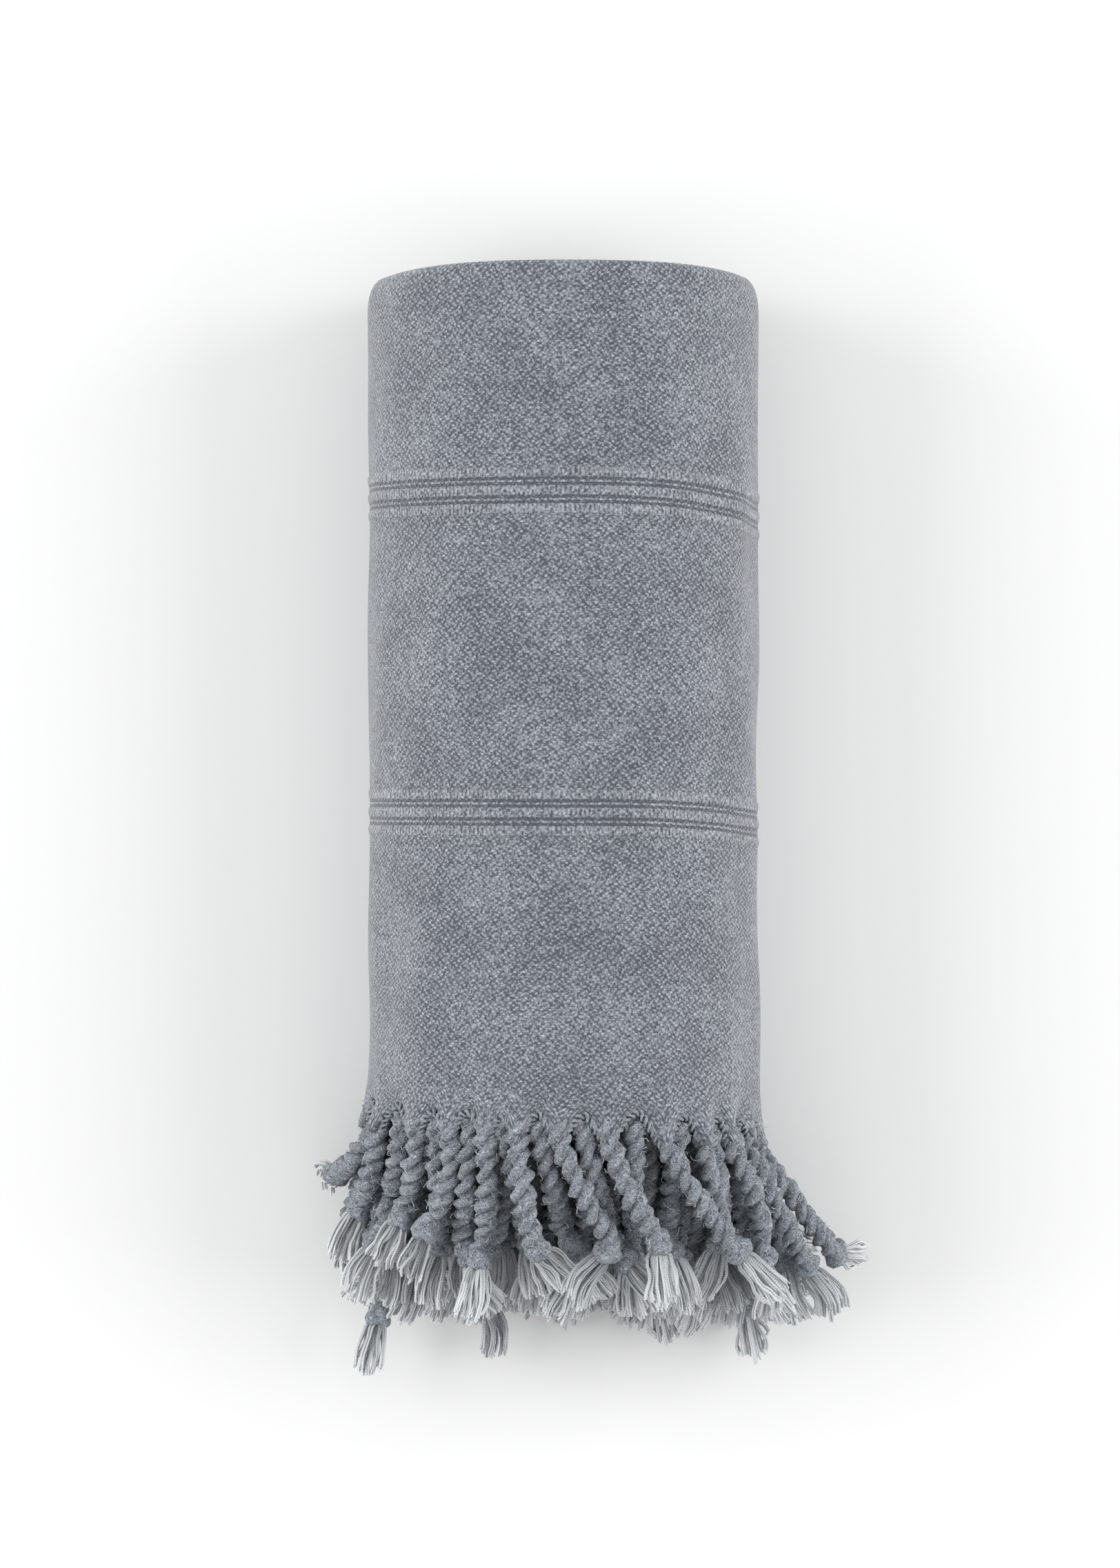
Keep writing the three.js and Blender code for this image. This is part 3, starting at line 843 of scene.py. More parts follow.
class Nodes:
    """Adds nodes to a tree and joins them up."""

    def __init__(self, tree):
        self.tree = tree

    def add(self, kind, inputs=None, **settings):
        node = self.tree.nodes.new(kind)
        for name, value in settings.items():
            setattr(node, name, value)
        for key, value in (inputs or {}).items():
            if isinstance(value, bpy.types.NodeSocket):
                self.tree.links.new(value, node.inputs[key])
            else:
                node.inputs[key].default_value = value
        return node

    def math(self, operation, *values):
        return self.add("ShaderNodeMath", dict(enumerate(values)), operation=operation).outputs[0]

    def multiply_add(self, value, factor, more):
        return self.math("MULTIPLY_ADD", value, factor, more)

    def swing(self, value, size, more):
        """Adds a value from 0 to 1 to another, half of its size up and half of it down."""
        return self.multiply_add(self.math("SUBTRACT", value, 0.5), size, more)

    def ramp(self, value, low, high, to_low=0.0, to_high=1.0):
        node = self.add("ShaderNodeMapRange", {0: value, 1: low, 2: high, 3: to_low, 4: to_high})
        node.interpolation_type = "SMOOTHSTEP"
        return node.outputs[0]

    def mix(self, share, first, second, blend="MIX"):
        node = self.add("ShaderNodeMix", data_type="RGBA", blend_type=blend)
        for key, value in ((0, share), (6, first), (7, second)):
            if isinstance(value, bpy.types.NodeSocket):
                self.tree.links.new(value, node.inputs[key])
            else:
                node.inputs[key].default_value = value
        return node.outputs[2]

    def noise(self, vector, scale, detail=2.0, roughness=0.5):
        node = self.add("ShaderNodeTexNoise", {"Vector": vector, "Scale": scale})
        node.inputs["Detail"].default_value = detail
        node.inputs["Roughness"].default_value = roughness
        return node.outputs["Fac"]


def new_tree(name, kind, inputs, outputs):
    tree = bpy.data.node_groups.new(name, kind)
    for label, socket, default in inputs:
        made = tree.interface.new_socket(label, in_out="INPUT", socket_type=socket)
        if default is not None:
            made.default_value = default
    for label, socket in outputs:
        tree.interface.new_socket(label, in_out="OUTPUT", socket_type=socket)
    nodes = Nodes(tree)
    return nodes, nodes.add("NodeGroupInput").outputs, nodes.add("NodeGroupOutput")


def attribute(nodes, name, kind="FLOAT"):
    return nodes.add("GeometryNodeInputNamedAttribute", {0: name}, data_type=kind).outputs[0]


def store(nodes, geometry, name, value, kind="FLOAT"):
    node = nodes.add("GeometryNodeStoreNamedAttribute", {0: geometry, 2: name}, data_type=kind)
    nodes.tree.links.new(value, node.inputs[3])
    return node.outputs[0]


def finish_tree(nodes, given, output, geometry):
    real = nodes.add("GeometryNodeRealizeInstances", {0: geometry}).outputs[0]
    smooth = nodes.add("GeometryNodeSetShadeSmooth", {0: real}).outputs[0]
    done = nodes.add("GeometryNodeSetMaterial", {0: smooth, 2: given["Material"]}).outputs[0]
    nodes.tree.links.new(done, output.inputs[0])


def above_floor(nodes, geometry, floor):
    """Presses what would sink into the surface flat on it."""
    place_node = nodes.add("GeometryNodeInputPosition")
    parts = nodes.add("ShaderNodeSeparateXYZ", {0: place_node.outputs[0]}).outputs
    level = nodes.math("MAXIMUM", parts[2], floor)
    joined = nodes.add("ShaderNodeCombineXYZ", {0: parts[0], 1: parts[1], 2: level}).outputs[0]
    return nodes.add("GeometryNodeSetPosition", {0: geometry, 2: joined}).outputs[0]


LUMP_SCALE = 380.0
KNOT_LUMPS = 0.0012
FLOOR_GAP = 0.0002            # from the floor to the lowest yarn
FIBRE_SIZES = ((0.6, 0.6, 0.5), (1.3, 1.3, 1.3))


def uneven(nodes, geometry, amount, scale):
    """Pushes a surface in and out a little, as in hand-twisted cotton."""
    noise = nodes.add("ShaderNodeTexNoise", {"Scale": scale, "Detail": 2.0}).outputs["Fac"]
    push = nodes.math("MULTIPLY", nodes.math("SUBTRACT", noise, 0.5), nodes.math("MULTIPLY", amount, 2.0))
    normal = nodes.add("GeometryNodeInputNormal").outputs[0]
    offset = nodes.add("ShaderNodeVectorMath", {0: normal, "Scale": push}, operation="SCALE").outputs[0]
    return nodes.add("GeometryNodeSetPosition", {0: geometry, 3: offset}).outputs[0]


def rope_tree():
    """Two plies twisted round each path. They carry their direction, their reach and their length."""
    nodes, given, output = new_tree("Twisted rope", "GeometryNodeTree", (
        ("Paths", "NodeSocketGeometry", None),
        ("Ply Radius", "NodeSocketFloat", 0.0018),
        ("Ply Offset", "NodeSocketFloat", 0.0015),
        ("Pitch", "NodeSocketFloat", 0.011),
        ("Step", "NodeSocketFloat", 0.0009),
        ("Sides", "NodeSocketInt", 8),
        ("Unevenness", "NodeSocketFloat", 0.0),
        ("Floor", "NodeSocketFloat", FLOOR_GAP),
        ("Material", "NodeSocketMaterial", None),
    ), (("Rope", "NodeSocketGeometry"),))
    curve = nodes.add("GeometryNodeMeshToCurve", {0: given["Paths"]}).outputs[0]
    curve = nodes.add("GeometryNodeCurveSplineType", {0: curve}, spline_type="CATMULL_ROM").outputs[0]
    resample = nodes.add("GeometryNodeResampleCurve", {0: curve, "Length": given["Step"]}, mode="LENGTH")
    length = nodes.add("GeometryNodeSplineParameter").outputs["Length"]
    turns = nodes.math("DIVIDE", length, given["Pitch"])
    tilt = nodes.multiply_add(turns, TURN, attribute(nodes, "phase"))
    tilted = nodes.add("GeometryNodeSetCurveTilt", {0: resample.outputs[0], 2: tilt}).outputs[0]
    rail = store(nodes, tilted, "along", length)
    circle = nodes.add("GeometryNodeCurvePrimitiveCircle", {0: given["Sides"], 4: given["Ply Radius"]})
    where = nodes.add("GeometryNodeInputPosition").outputs[0]
    ring = nodes.add("ShaderNodeVectorMath", {0: where}, operation="NORMALIZE").outputs[0]
    ply = store(nodes, circle.outputs[0], "ring", ring, "FLOAT_VECTOR")
    plies = nodes.add("GeometryNodeJoinGeometry")
    for side in (1, -1):
        offset = nodes.math("MULTIPLY", given["Ply Offset"], side)
        shift = nodes.add("ShaderNodeCombineXYZ", {0: offset}).outputs[0]
        moved = nodes.add("GeometryNodeTransform", {0: ply, 1: shift}).outputs[0]
        nodes.tree.links.new(moved, plies.inputs[0])
    far = nodes.add("ShaderNodeVectorMath", {0: where}, operation="LENGTH").outputs["Value"]
    widest = nodes.math("ADD", given["Ply Radius"], given["Ply Offset"])
    # reach, from the rope's middle out, later sets the painted shade in the groove between plies
    profile = store(nodes, plies.outputs[0], "reach", nodes.math("DIVIDE", far, widest))
    thickness = attribute(nodes, "thickness")
    rope = nodes.add("GeometryNodeCurveToMesh", {0: rail, 1: profile, 2: thickness, 3: True})
    lumpy = uneven(nodes, rope.outputs[0], given["Unevenness"], LUMP_SCALE)
    finish_tree(nodes, given, output, above_floor(nodes, lumpy, given["Floor"]))
    return nodes.tree


def yarn_tree():
    """A single yarn along each path, as thick as its points say."""
    nodes, given, output = new_tree("Yarn", "GeometryNodeTree", (
        ("Paths", "NodeSocketGeometry", None),
        ("Radius", "NodeSocketFloat", 0.0003),
        ("Sides", "NodeSocketInt", 3),
        ("Floor", "NodeSocketFloat", FLOOR_GAP),
        ("Material", "NodeSocketMaterial", None),
    ), (("Yarn", "NodeSocketGeometry"),))
    curve = nodes.add("GeometryNodeMeshToCurve", {0: given["Paths"]}).outputs[0]
    rail = store(nodes, curve, "along", nodes.add("GeometryNodeSplineParameter").outputs["Length"])
    circle = nodes.add("GeometryNodeCurvePrimitiveCircle", {0: given["Sides"], 4: given["Radius"]})
    where = nodes.add("GeometryNodeInputPosition").outputs[0]
    ring = nodes.add("ShaderNodeVectorMath", {0: where}, operation="NORMALIZE").outputs[0]
    profile = store(nodes, circle.outputs[0], "ring", ring, "FLOAT_VECTOR")
    thickness = attribute(nodes, "thickness")
    yarn = nodes.add("GeometryNodeCurveToMesh", {0: rail, 1: profile, 2: thickness, 3: True})
    finish_tree(nodes, given, output, above_floor(nodes, yarn.outputs[0], given["Floor"]))
    return nodes.tree


def one_of(nodes, kinds):
    """The kinds as instances to choose from, in their own order."""
    choice = nodes.add("GeometryNodeJoinGeometry")
    for kind in reversed(kinds):
        info = nodes.add("GeometryNodeObjectInfo", {"Object": kind})
        one = nodes.add("GeometryNodeGeometryToInstance", {0: info.outputs["Geometry"]})
        nodes.tree.links.new(one.outputs[0], choice.inputs[0])
    return choice.outputs[0]


def knot_tree(kinds):
    """A knot of one of a few kinds on each point, turned and sized as the point says."""
    nodes, given, output = new_tree("Knots", "GeometryNodeTree", (
        ("Points", "NodeSocketGeometry", None),
        ("Floor", "NodeSocketFloat", FLOOR_GAP),
        ("Material", "NodeSocketMaterial", None),
    ), (("Knots", "NodeSocketGeometry"),))
    turn = nodes.add("FunctionNodeEulerToRotation", {0: attribute(nodes, "turn", "FLOAT_VECTOR")})
    knots = nodes.add("GeometryNodeInstanceOnPoints", {
        "Points": given["Points"],
        "Instance": one_of(nodes, kinds),
        "Pick Instance": True,
        "Instance Index": attribute(nodes, "kind", "INT"),
        "Rotation": turn.outputs[0],
        "Scale": attribute(nodes, "size", "FLOAT_VECTOR"),
    })
    real = nodes.add("GeometryNodeRealizeInstances", {0: knots.outputs[0]}).outputs[0]
    lumpy = uneven(nodes, real, KNOT_LUMPS, LUMP_SCALE)
    finish_tree(nodes, given, output, above_floor(nodes, lumpy, given["Floor"]))
    return nodes.tree


def fuzz_tree(kinds):
    """Short curled fibres strewn over a surface, which itself is left out."""
    nodes, given, output = new_tree("Fuzz", "GeometryNodeTree", (
        ("Surface", "NodeSocketGeometry", None),
        ("Density", "NodeSocketFloat", 60000.0),
        ("Seed", "NodeSocketInt", 5),
        ("Floor", "NodeSocketFloat", FLOOR_GAP),
        ("Material", "NodeSocketMaterial", None),
    ), (("Fuzz", "NodeSocketGeometry"),))
    strewn = nodes.add("GeometryNodeDistributePointsOnFaces", {
        "Mesh": given["Surface"],
        "Density": given["Density"],
        "Seed": given["Seed"],
    })
    full_turn = {0: (0, 0, 0), 1: (0, 0, TURN)}
    spin = nodes.add("FunctionNodeRandomValue", full_turn, data_type="FLOAT_VECTOR")
    spun = nodes.add("FunctionNodeEulerToRotation", {0: spin.outputs[0]})
    turned = nodes.add("FunctionNodeRotateRotation", {0: strewn.outputs["Rotation"], 1: spun.outputs[0]})
    turned.rotation_space = "LOCAL"
    sizes = dict(enumerate(FIBRE_SIZES))
    size = nodes.add("FunctionNodeRandomValue", sizes, data_type="FLOAT_VECTOR")
    pick = nodes.add("FunctionNodeRandomValue", {4: 0, 5: len(kinds) - 1}, data_type="INT")
    fibres = nodes.add("GeometryNodeInstanceOnPoints", {
        "Points": strewn.outputs["Points"],
        "Instance": one_of(nodes, kinds),
        "Pick Instance": True,
        "Instance Index": pick.outputs[2],
        "Rotation": turned.outputs[0],
        "Scale": size.outputs[0],
    })
    real = nodes.add("GeometryNodeRealizeInstances", {0: fibres.outputs[0]}).outputs[0]
    finish_tree(nodes, given, output, above_floor(nodes, real, given["Floor"]))
    return nodes.tree


def grow(piece, tree, **values):
    """Runs a tree on a piece and keeps the plain mesh that it makes."""
    modifier = piece.modifiers.new(tree.name, "NODES")
    modifier.node_group = tree
    for item in tree.interface.items_tree:
        if item.in_out == "INPUT" and item.name in values:
            modifier[item.identifier] = values[item.name]
    evaluated = piece.evaluated_get(bpy.context.evaluated_depsgraph_get())
    mesh = bpy.data.meshes.new_from_object(evaluated)
    mesh.name = piece.name
    piece.modifiers.remove(modifier)
    paths = piece.data
    piece.data = mesh
    bpy.data.meshes.remove(paths)


# Shader groups

def broken_twill_group():
    """A four-thread broken twill: slanting floats that step from row to row. Lengths in millimetres."""
    nodes, given, output = new_tree("Broken twill", "ShaderNodeTree", (
        ("Across", "NodeSocketFloat", 0.0),
        ("Along", "NodeSocketFloat", 0.0),
        ("Repeat", "NodeSocketFloat", 2.77),
        ("Row", "NodeSocketFloat", 0.74),
        ("Slant", "NodeSocketFloat", -0.06),
    ), (("Float", "NodeSocketFloat"), ("Chance", "NodeSocketFloat")))
    rows = nodes.math("DIVIDE", given["Along"], given["Row"])
    number = nodes.math("FLOOR", rows)
    within = nodes.math("FRACT", rows)
    fourth = nodes.math("FLOORED_MODULO", number, 4.0)
    later = nodes.math("GREATER_THAN", fourth, 1.5)
    swap = nodes.math("MULTIPLY", later, nodes.multiply_add(fourth, -2.0, 5.0))
    shift = nodes.math("ADD", fourth, swap)
    across = nodes.math("DIVIDE", given["Across"], given["Repeat"])
    stepped = nodes.multiply_add(shift, 0.25, across)
    way = nodes.math("MULTIPLY", nodes.multiply_add(later, -2.0, 1.0), given["Slant"])
    slanted = nodes.multiply_add(nodes.math("SUBTRACT", within, 0.5), way, stepped)
    wave = nodes.math("COSINE", nodes.math("MULTIPLY", slanted, TURN))
    roundness = nodes.math("SINE", nodes.math("MULTIPLY", within, math.pi))
    raised = nodes.math("MULTIPLY", nodes.ramp(wave, -0.1, 1.0), nodes.multiply_add(roundness, 0.35, 0.65))
    nodes.tree.links.new(raised, output.inputs["Float"])
    thread = nodes.math("FLOOR", nodes.math("MULTIPLY", across, 4.0))
    cell = nodes.add("ShaderNodeCombineXYZ", {0: thread, 1: number}).outputs[0]
    chance = nodes.add("ShaderNodeTexWhiteNoise", {"Vector": cell}).outputs["Value"]
    nodes.tree.links.new(chance, output.inputs["Chance"])
    return nodes.tree


# As shares of the way from the middle of one rib to the next, where each part of a band fades in
RIB_FADE = (0.25, 0.18)
LINE_FADE = (0.42, 0.455)
GAP_FADES = ((0.2, 0.26), (0.46, 0.41))
BAND_HALF = 1.5
RIB_STROKES = (0.7, 0.3)


def rib_group():
    """The bands: three raised pale ribs with a thin pale line between each two. Lengths in millimetres."""
    nodes, given, output = new_tree("Ribbed bands", "ShaderNodeTree", (
        ("Across", "NodeSocketFloat", 0.0),
        ("Along", "NodeSocketFloat", 0.0),
        ("Pitch", "NodeSocketFloat", RIB_PITCH),
        ("Stroke", "NodeSocketFloat", 1.45),
    ), (("Rib", "NodeSocketFloat"), ("Gap", "NodeSocketFloat"), ("Line", "NodeSocketFloat")))
    rib, gap, line = 0.0, 0.0, 0.0
    for band in BANDS:
        off = nodes.math("SUBTRACT", given["Along"], band)
        share = nodes.math("DIVIDE", off, given["Pitch"])
        far = nodes.math("ABSOLUTE", share)
        within = nodes.math("LESS_THAN", far, BAND_HALF)
        from_rib = nodes.math("PINGPONG", nodes.math("ADD", share, 10.0), 0.5)
        here = nodes.math("MULTIPLY", within, nodes.ramp(from_rib, *RIB_FADE))
        rib = nodes.math("MAXIMUM", here, rib)
        near = nodes.math("LESS_THAN", far, 1.0)
        thin = nodes.math("MULTIPLY", near, nodes.ramp(from_rib, *LINE_FADE))
        line = nodes.math("MAXIMUM", thin, line)
        dark = nodes.math("MULTIPLY", *(nodes.ramp(from_rib, *fade) for fade in GAP_FADES))
        gap = nodes.math("MAXIMUM", nodes.math("MULTIPLY", dark, near), gap)
    turn = nodes.math("DIVIDE", given["Across"], given["Stroke"])
    stroke = nodes.math("ABSOLUTE", nodes.math("SINE", nodes.math("MULTIPLY", turn, math.pi)))
    strokes = nodes.multiply_add(nodes.ramp(stroke, 0.15, 0.9), *RIB_STROKES)
    nodes.tree.links.new(nodes.math("MULTIPLY", rib, strokes), output.inputs["Rib"])
    nodes.tree.links.new(gap, output.inputs["Gap"])
    nodes.tree.links.new(line, output.inputs["Line"])
    return nodes.tree


def stonewash_group():
    """Uneven fading from washing: large soft clouds, and small worn spots. Both from 0 to 1."""
    nodes, given, output = new_tree("Stonewash", "ShaderNodeTree", (
        ("Place", "NodeSocketVector", None),
    ), (("Cloud", "NodeSocketFloat"), ("Worn", "NodeSocketFloat")))
    cloud = nodes.noise(given["Place"], 45.0, 3.0, 0.55)
    worn = nodes.noise(given["Place"], 420.0, 3.0, 0.6)
    nodes.tree.links.new(nodes.ramp(cloud, 0.3, 0.7), output.inputs["Cloud"])
    nodes.tree.links.new(nodes.ramp(worn, 0.3, 0.72), output.inputs["Worn"])
    return nodes.tree


def curled_fibre_group():
    """Fine curled fibres that stand out of soft yarn: 1 on a fibre, 0 beside it."""
    nodes, given, output = new_tree("Curled fibres", "ShaderNodeTree", (
        ("Place", "NodeSocketVector", None),
        ("Scale", "NodeSocketFloat", 900.0),
    ), (("Fibre", "NodeSocketFloat"),))
    total = 0.0
    for factor, sharp in ((1.0, 3.0), (1.8, 2.4)):
        scale = nodes.math("MULTIPLY", given["Scale"], factor)
        noise = nodes.noise(given["Place"], 1.0, 2.0, 0.5)
        texture = noise.node
        nodes.tree.links.new(scale, texture.inputs["Scale"])
        texture.inputs["Distortion"].default_value = 1.4
        off = nodes.math("ABSOLUTE", nodes.multiply_add(noise, 2.0, -1.0))
        line = nodes.math("MAXIMUM", nodes.multiply_add(off, -2.0 * sharp, 1.0), 0.0)
        total = nodes.math("MAXIMUM", line, total)
    nodes.tree.links.new(total, output.inputs["Fibre"])
    return nodes.tree


def yarn_twist_group():
    """Fine strands that wind round a yarn or ply: 1 on a strand, 0 between two."""
    nodes, given, output = new_tree("Yarn twist", "ShaderNodeTree", (
        ("Ring", "NodeSocketVector", None),
        ("Along", "NodeSocketFloat", 0.0),
        ("Strands", "NodeSocketFloat", 8.0),
        ("Pitch", "NodeSocketFloat", 0.009),
    ), (("Strand", "NodeSocketFloat"),))
    parts = nodes.add("ShaderNodeSeparateXYZ", {0: given["Ring"]}).outputs
    angle = nodes.math("ARCTAN2", parts[1], parts[0])
    turns = nodes.math("MULTIPLY", nodes.math("DIVIDE", given["Along"], given["Pitch"]), TURN)
    winding = nodes.math("MULTIPLY", nodes.math("SUBTRACT", angle, turns), given["Strands"])
    strand = nodes.multiply_add(nodes.math("SINE", winding), 0.5, 0.5)
    nodes.tree.links.new(strand, output.inputs["Strand"])
    return nodes.tree


def use_group(nodes, tree, **values):
    return nodes.add("ShaderNodeGroup", values, node_tree=tree).outputs


def new_material(name):
    material = bpy.data.materials.new(name)
    material.use_nodes = True
    nodes = Nodes(material.node_tree)
    shader = material.node_tree.nodes["Principled BSDF"]
    return material, nodes, shader


def join(nodes, value, shader, socket):
    nodes.tree.links.new(value, shader.inputs[socket])


def bump(nodes, height, strength, distance):
    node = nodes.add("ShaderNodeBump", {"Height": height, "Strength": strength, "Distance": distance})
    return node.outputs[0]


CLOTH_BUMP = 0.0006
PICK_HEIGHT = 0.3
RIB_HEIGHT = 0.8
ROPE_BUMP = 0.0007
YARN_BUMP = 0.0002
DRIFT_ACROSS = (260.0, 0.9)   # scale of the weave's drift, and its size in millimetres
DRIFT_ALONG = (190.0, 0.7)
SLUB_SCALE = (900, 160, 1)
PICK_SCALE = (150, 1300, 1)
THREAD_ON_RIB = 0.6           # how much of the twill shows on a rib
# THREAD_TONE and GROUND_TONE: paleness on a raised float and between floats, partly painted highlight and
# painted shade of the weave
THREAD_TONE = 0.5
GROUND_TONE = 0.12
THREAD_CHANCE = 0.3
LINT_SCALE = 1300.0
LINT_ROUGHNESS = 0.65
LINT_TONE = 2.1
PICK_TONE = 0.08
WORN_TONE = 0.3
CLOUD_TONE = 0.16
LINE_TONE = 0.12
GAP_TONE = -0.3
PALEST = 1.3
FIBRE_TONE = 1.6
FIBRE_MEAN = 0.3
FIBRE_SCALE = 640.0
# painted shade in the grooves of the ropes and knots
GROOVE_PAINTED_SHADE = -0.25


def soft_cotton(shader, sheen):
    shader.inputs["Roughness"].default_value = 0.95
    shader.inputs["Specular IOR Level"].default_value = 0.2
    shader.inputs["Sheen Weight"].default_value = sheen
    shader.inputs["Sheen Roughness"].default_value = 0.5


def cloth_finish(settings, groups):
    """Grey cotton twill, washed with stones, with paler ribs."""
    material, nodes, shader = new_material("stonewashed_twill")
    flat = nodes.add("ShaderNodeUVMap", uv_map="weave").outputs[0]
    parts = nodes.add("ShaderNodeSeparateXYZ", {0: flat}).outputs
    across = nodes.math("MULTIPLY", parts[0], 1000.0)
    along = nodes.math("MULTIPLY", parts[1], 1000.0)
    drift = nodes.noise(flat, DRIFT_ACROSS[0], 2.0)
    across_drift = nodes.multiply_add(drift, DRIFT_ACROSS[1], across)
    along_drift = nodes.multiply_add(nodes.noise(flat, DRIFT_ALONG[0], 2.0), DRIFT_ALONG[1], along)
    weave = use_group(nodes, groups["twill"], Across=across_drift, Along=along_drift)
    ribs = use_group(nodes, groups["ribs"], Across=across_drift, Along=along)
    wash = use_group(nodes, groups["wash"], Place=flat)
    slub = nodes.noise(nodes.add("ShaderNodeMapping", {0: flat, 3: SLUB_SCALE}).outputs[0], 1.0, 2.0)
    pick = nodes.noise(nodes.add("ShaderNodeMapping", {0: flat, 3: PICK_SCALE}).outputs[0], 1.0, 2.0)
    raised = nodes.math("MULTIPLY", weave["Float"], nodes.ramp(slub, 0.25, 0.75, 0.75, 1.15))
    plain = nodes.math("SUBTRACT", 1.0, nodes.math("MAXIMUM", ribs["Rib"], ribs["Gap"]))
    thread = nodes.math("MULTIPLY", raised, nodes.multiply_add(plain, 1 - THREAD_ON_RIB, THREAD_ON_RIB))
    # partly painted light: raised floats are paled as a painted highlight and the ground between them stays
    # dark as painted shade, over the yarns' own chance tones
    pale = nodes.multiply_add(thread, THREAD_TONE, GROUND_TONE)
    pale = nodes.swing(weave["Chance"], THREAD_CHANCE, pale)
    lint = nodes.noise(flat, LINT_SCALE, 3.0, LINT_ROUGHNESS)
    pale = nodes.swing(lint, LINT_TONE, pale)
    pale = nodes.math("ADD", nodes.ramp(pick, 0.25, 0.75, -PICK_TONE, PICK_TONE), pale)
    pale = nodes.swing(wash["Worn"], WORN_TONE, pale)
    pale = nodes.swing(wash["Cloud"], CLOUD_TONE, pale)
    pale = nodes.multiply_add(ribs["Rib"], settings.rib_fade, pale)
    pale = nodes.multiply_add(ribs["Line"], LINE_TONE, pale)
    pale = nodes.multiply_add(ribs["Gap"], GAP_TONE, pale)
    pale = nodes.math("MINIMUM", nodes.math("MAXIMUM", pale, 0.0), PALEST)
    colour = nodes.mix(pale, (*settings.deep_colour, 1), (*settings.pale_colour, 1))
    join(nodes, colour, shader, "Base Color")
    threads = nodes.multiply_add(pick, PICK_HEIGHT, raised)
    height = nodes.multiply_add(ribs["Rib"], RIB_HEIGHT, threads)
    join(nodes, bump(nodes, height, 1.0, CLOTH_BUMP), shader, "Normal")
    soft_cotton(shader, 0.45)
    return material


def rope_finish(settings, groups, name, shade):
    """Twisted cotton: fine strands, with painted shade in the groove between two plies and in a knot's middle.
    """
    material, nodes, shader = new_material(name)
    ring = nodes.add("ShaderNodeAttribute", attribute_name="ring").outputs["Vector"]
    along = nodes.add("ShaderNodeAttribute", attribute_name="along").outputs["Fac"]
    reach = nodes.add("ShaderNodeAttribute", attribute_name="reach").outputs["Fac"]
    twist = use_group(nodes, groups["twist"], Ring=ring, Along=along, Strands=7.0, Pitch=0.012)
    where = nodes.add("ShaderNodeTexCoord").outputs["Object"]
    wash = use_group(nodes, groups["wash"], Place=where)
    fibre = use_group(nodes, groups["fibres"], Place=where, Scale=FIBRE_SCALE)["Fibre"]
    # painted shade: where reach is low, in the groove between plies and in a knot's hollow middle, the rope
    # turns dark
    pale = nodes.multiply_add(twist["Strand"], 0.08, nodes.ramp(reach, 0.35, 0.95, GROOVE_PAINTED_SHADE, shade))
    pale = nodes.swing(wash["Cloud"], CLOUD_TONE, pale)
    pale = nodes.swing(wash["Worn"], CLOUD_TONE, pale)
    pale = nodes.multiply_add(nodes.math("SUBTRACT", fibre, FIBRE_MEAN), FIBRE_TONE, pale)
    pale = nodes.math("MAXIMUM", pale, 0.0)
    colour = nodes.mix(pale, (*settings.tassel_shade_colour, 1), (*settings.rope_pale_colour, 1))
    join(nodes, colour, shader, "Base Color")
    height = nodes.multiply_add(twist["Strand"], 0.35, fibre)
    join(nodes, bump(nodes, height, 1.0, ROPE_BUMP), shader, "Normal")
    soft_cotton(shader, 0.35)
    return material


def yarn_finish(settings, groups):
    """Loose cotton yarn, with painted shade near its start at a knot or the hem, paling to a painted highlight
    at its cut end.
    """
    material, nodes, shader = new_material("loose_cotton")
    ring = nodes.add("ShaderNodeAttribute", attribute_name="ring").outputs["Vector"]
    along = nodes.add("ShaderNodeAttribute", attribute_name="along").outputs["Fac"]
    tone = nodes.add("ShaderNodeAttribute", attribute_name="tone").outputs["Fac"]
    tip = nodes.add("ShaderNodeAttribute", attribute_name="tip").outputs["Fac"]
    twist = use_group(nodes, groups["twist"], Ring=ring, Along=along, Strands=2.0, Pitch=0.0016)
    # painted light: the tip value darkens a yarn near its start and pales it towards its cut end
    pale = nodes.multiply_add(tip, 0.55, nodes.math("MULTIPLY", twist["Strand"], 0.25))
    pale = nodes.math("ADD", pale, nodes.multiply_add(tone, 0.55, -0.02))
    colour = nodes.mix(pale, (*settings.tassel_shade_colour, 1), (*settings.brush_colour, 1))
    join(nodes, colour, shader, "Base Color")
    join(nodes, bump(nodes, twist["Strand"], 0.5, YARN_BUMP), shader, "Normal")
    soft_cotton(shader, 0.35)
    return material


def fuzz_finish(settings):
    """Single fibres, pale against the ropes."""
    material, _, shader = new_material("cotton_fuzz")
    shader.inputs["Base Color"].default_value = (*settings.fuzz_colour, 1)
    shader.inputs["Roughness"].default_value = 0.95
    shader.inputs["Specular IOR Level"].default_value = 0.2
    return material


@functools.lru_cache
def finishes():
    settings = bpy.context.scene.towel_colours
    groups = {
        "twill": broken_twill_group(),
        "ribs": rib_group(),
        "wash": stonewash_group(),
        "twist": yarn_twist_group(),
        "fibres": curled_fibre_group(),
    }
    return {
        "cloth": cloth_finish(settings, groups),
        "outer": rope_finish(settings, groups, "twisted_cotton", 0.36),
        "edge": rope_finish(settings, groups, "hem_edge_twist", 0.8),
        # painted shade: the inner hem's ropes and knots get a darker tone, for the shade that falls on them
        # deep in the fringe
        "inner": rope_finish(settings, groups, "covered_cotton", 0.16),
        "yarn": yarn_finish(settings, groups),
        "fuzz": fuzz_finish(settings),
    }


@functools.lru_cache
def trees():
    return {"rope": rope_tree(), "yarn": yarn_tree()}


# The pieces of a tassel

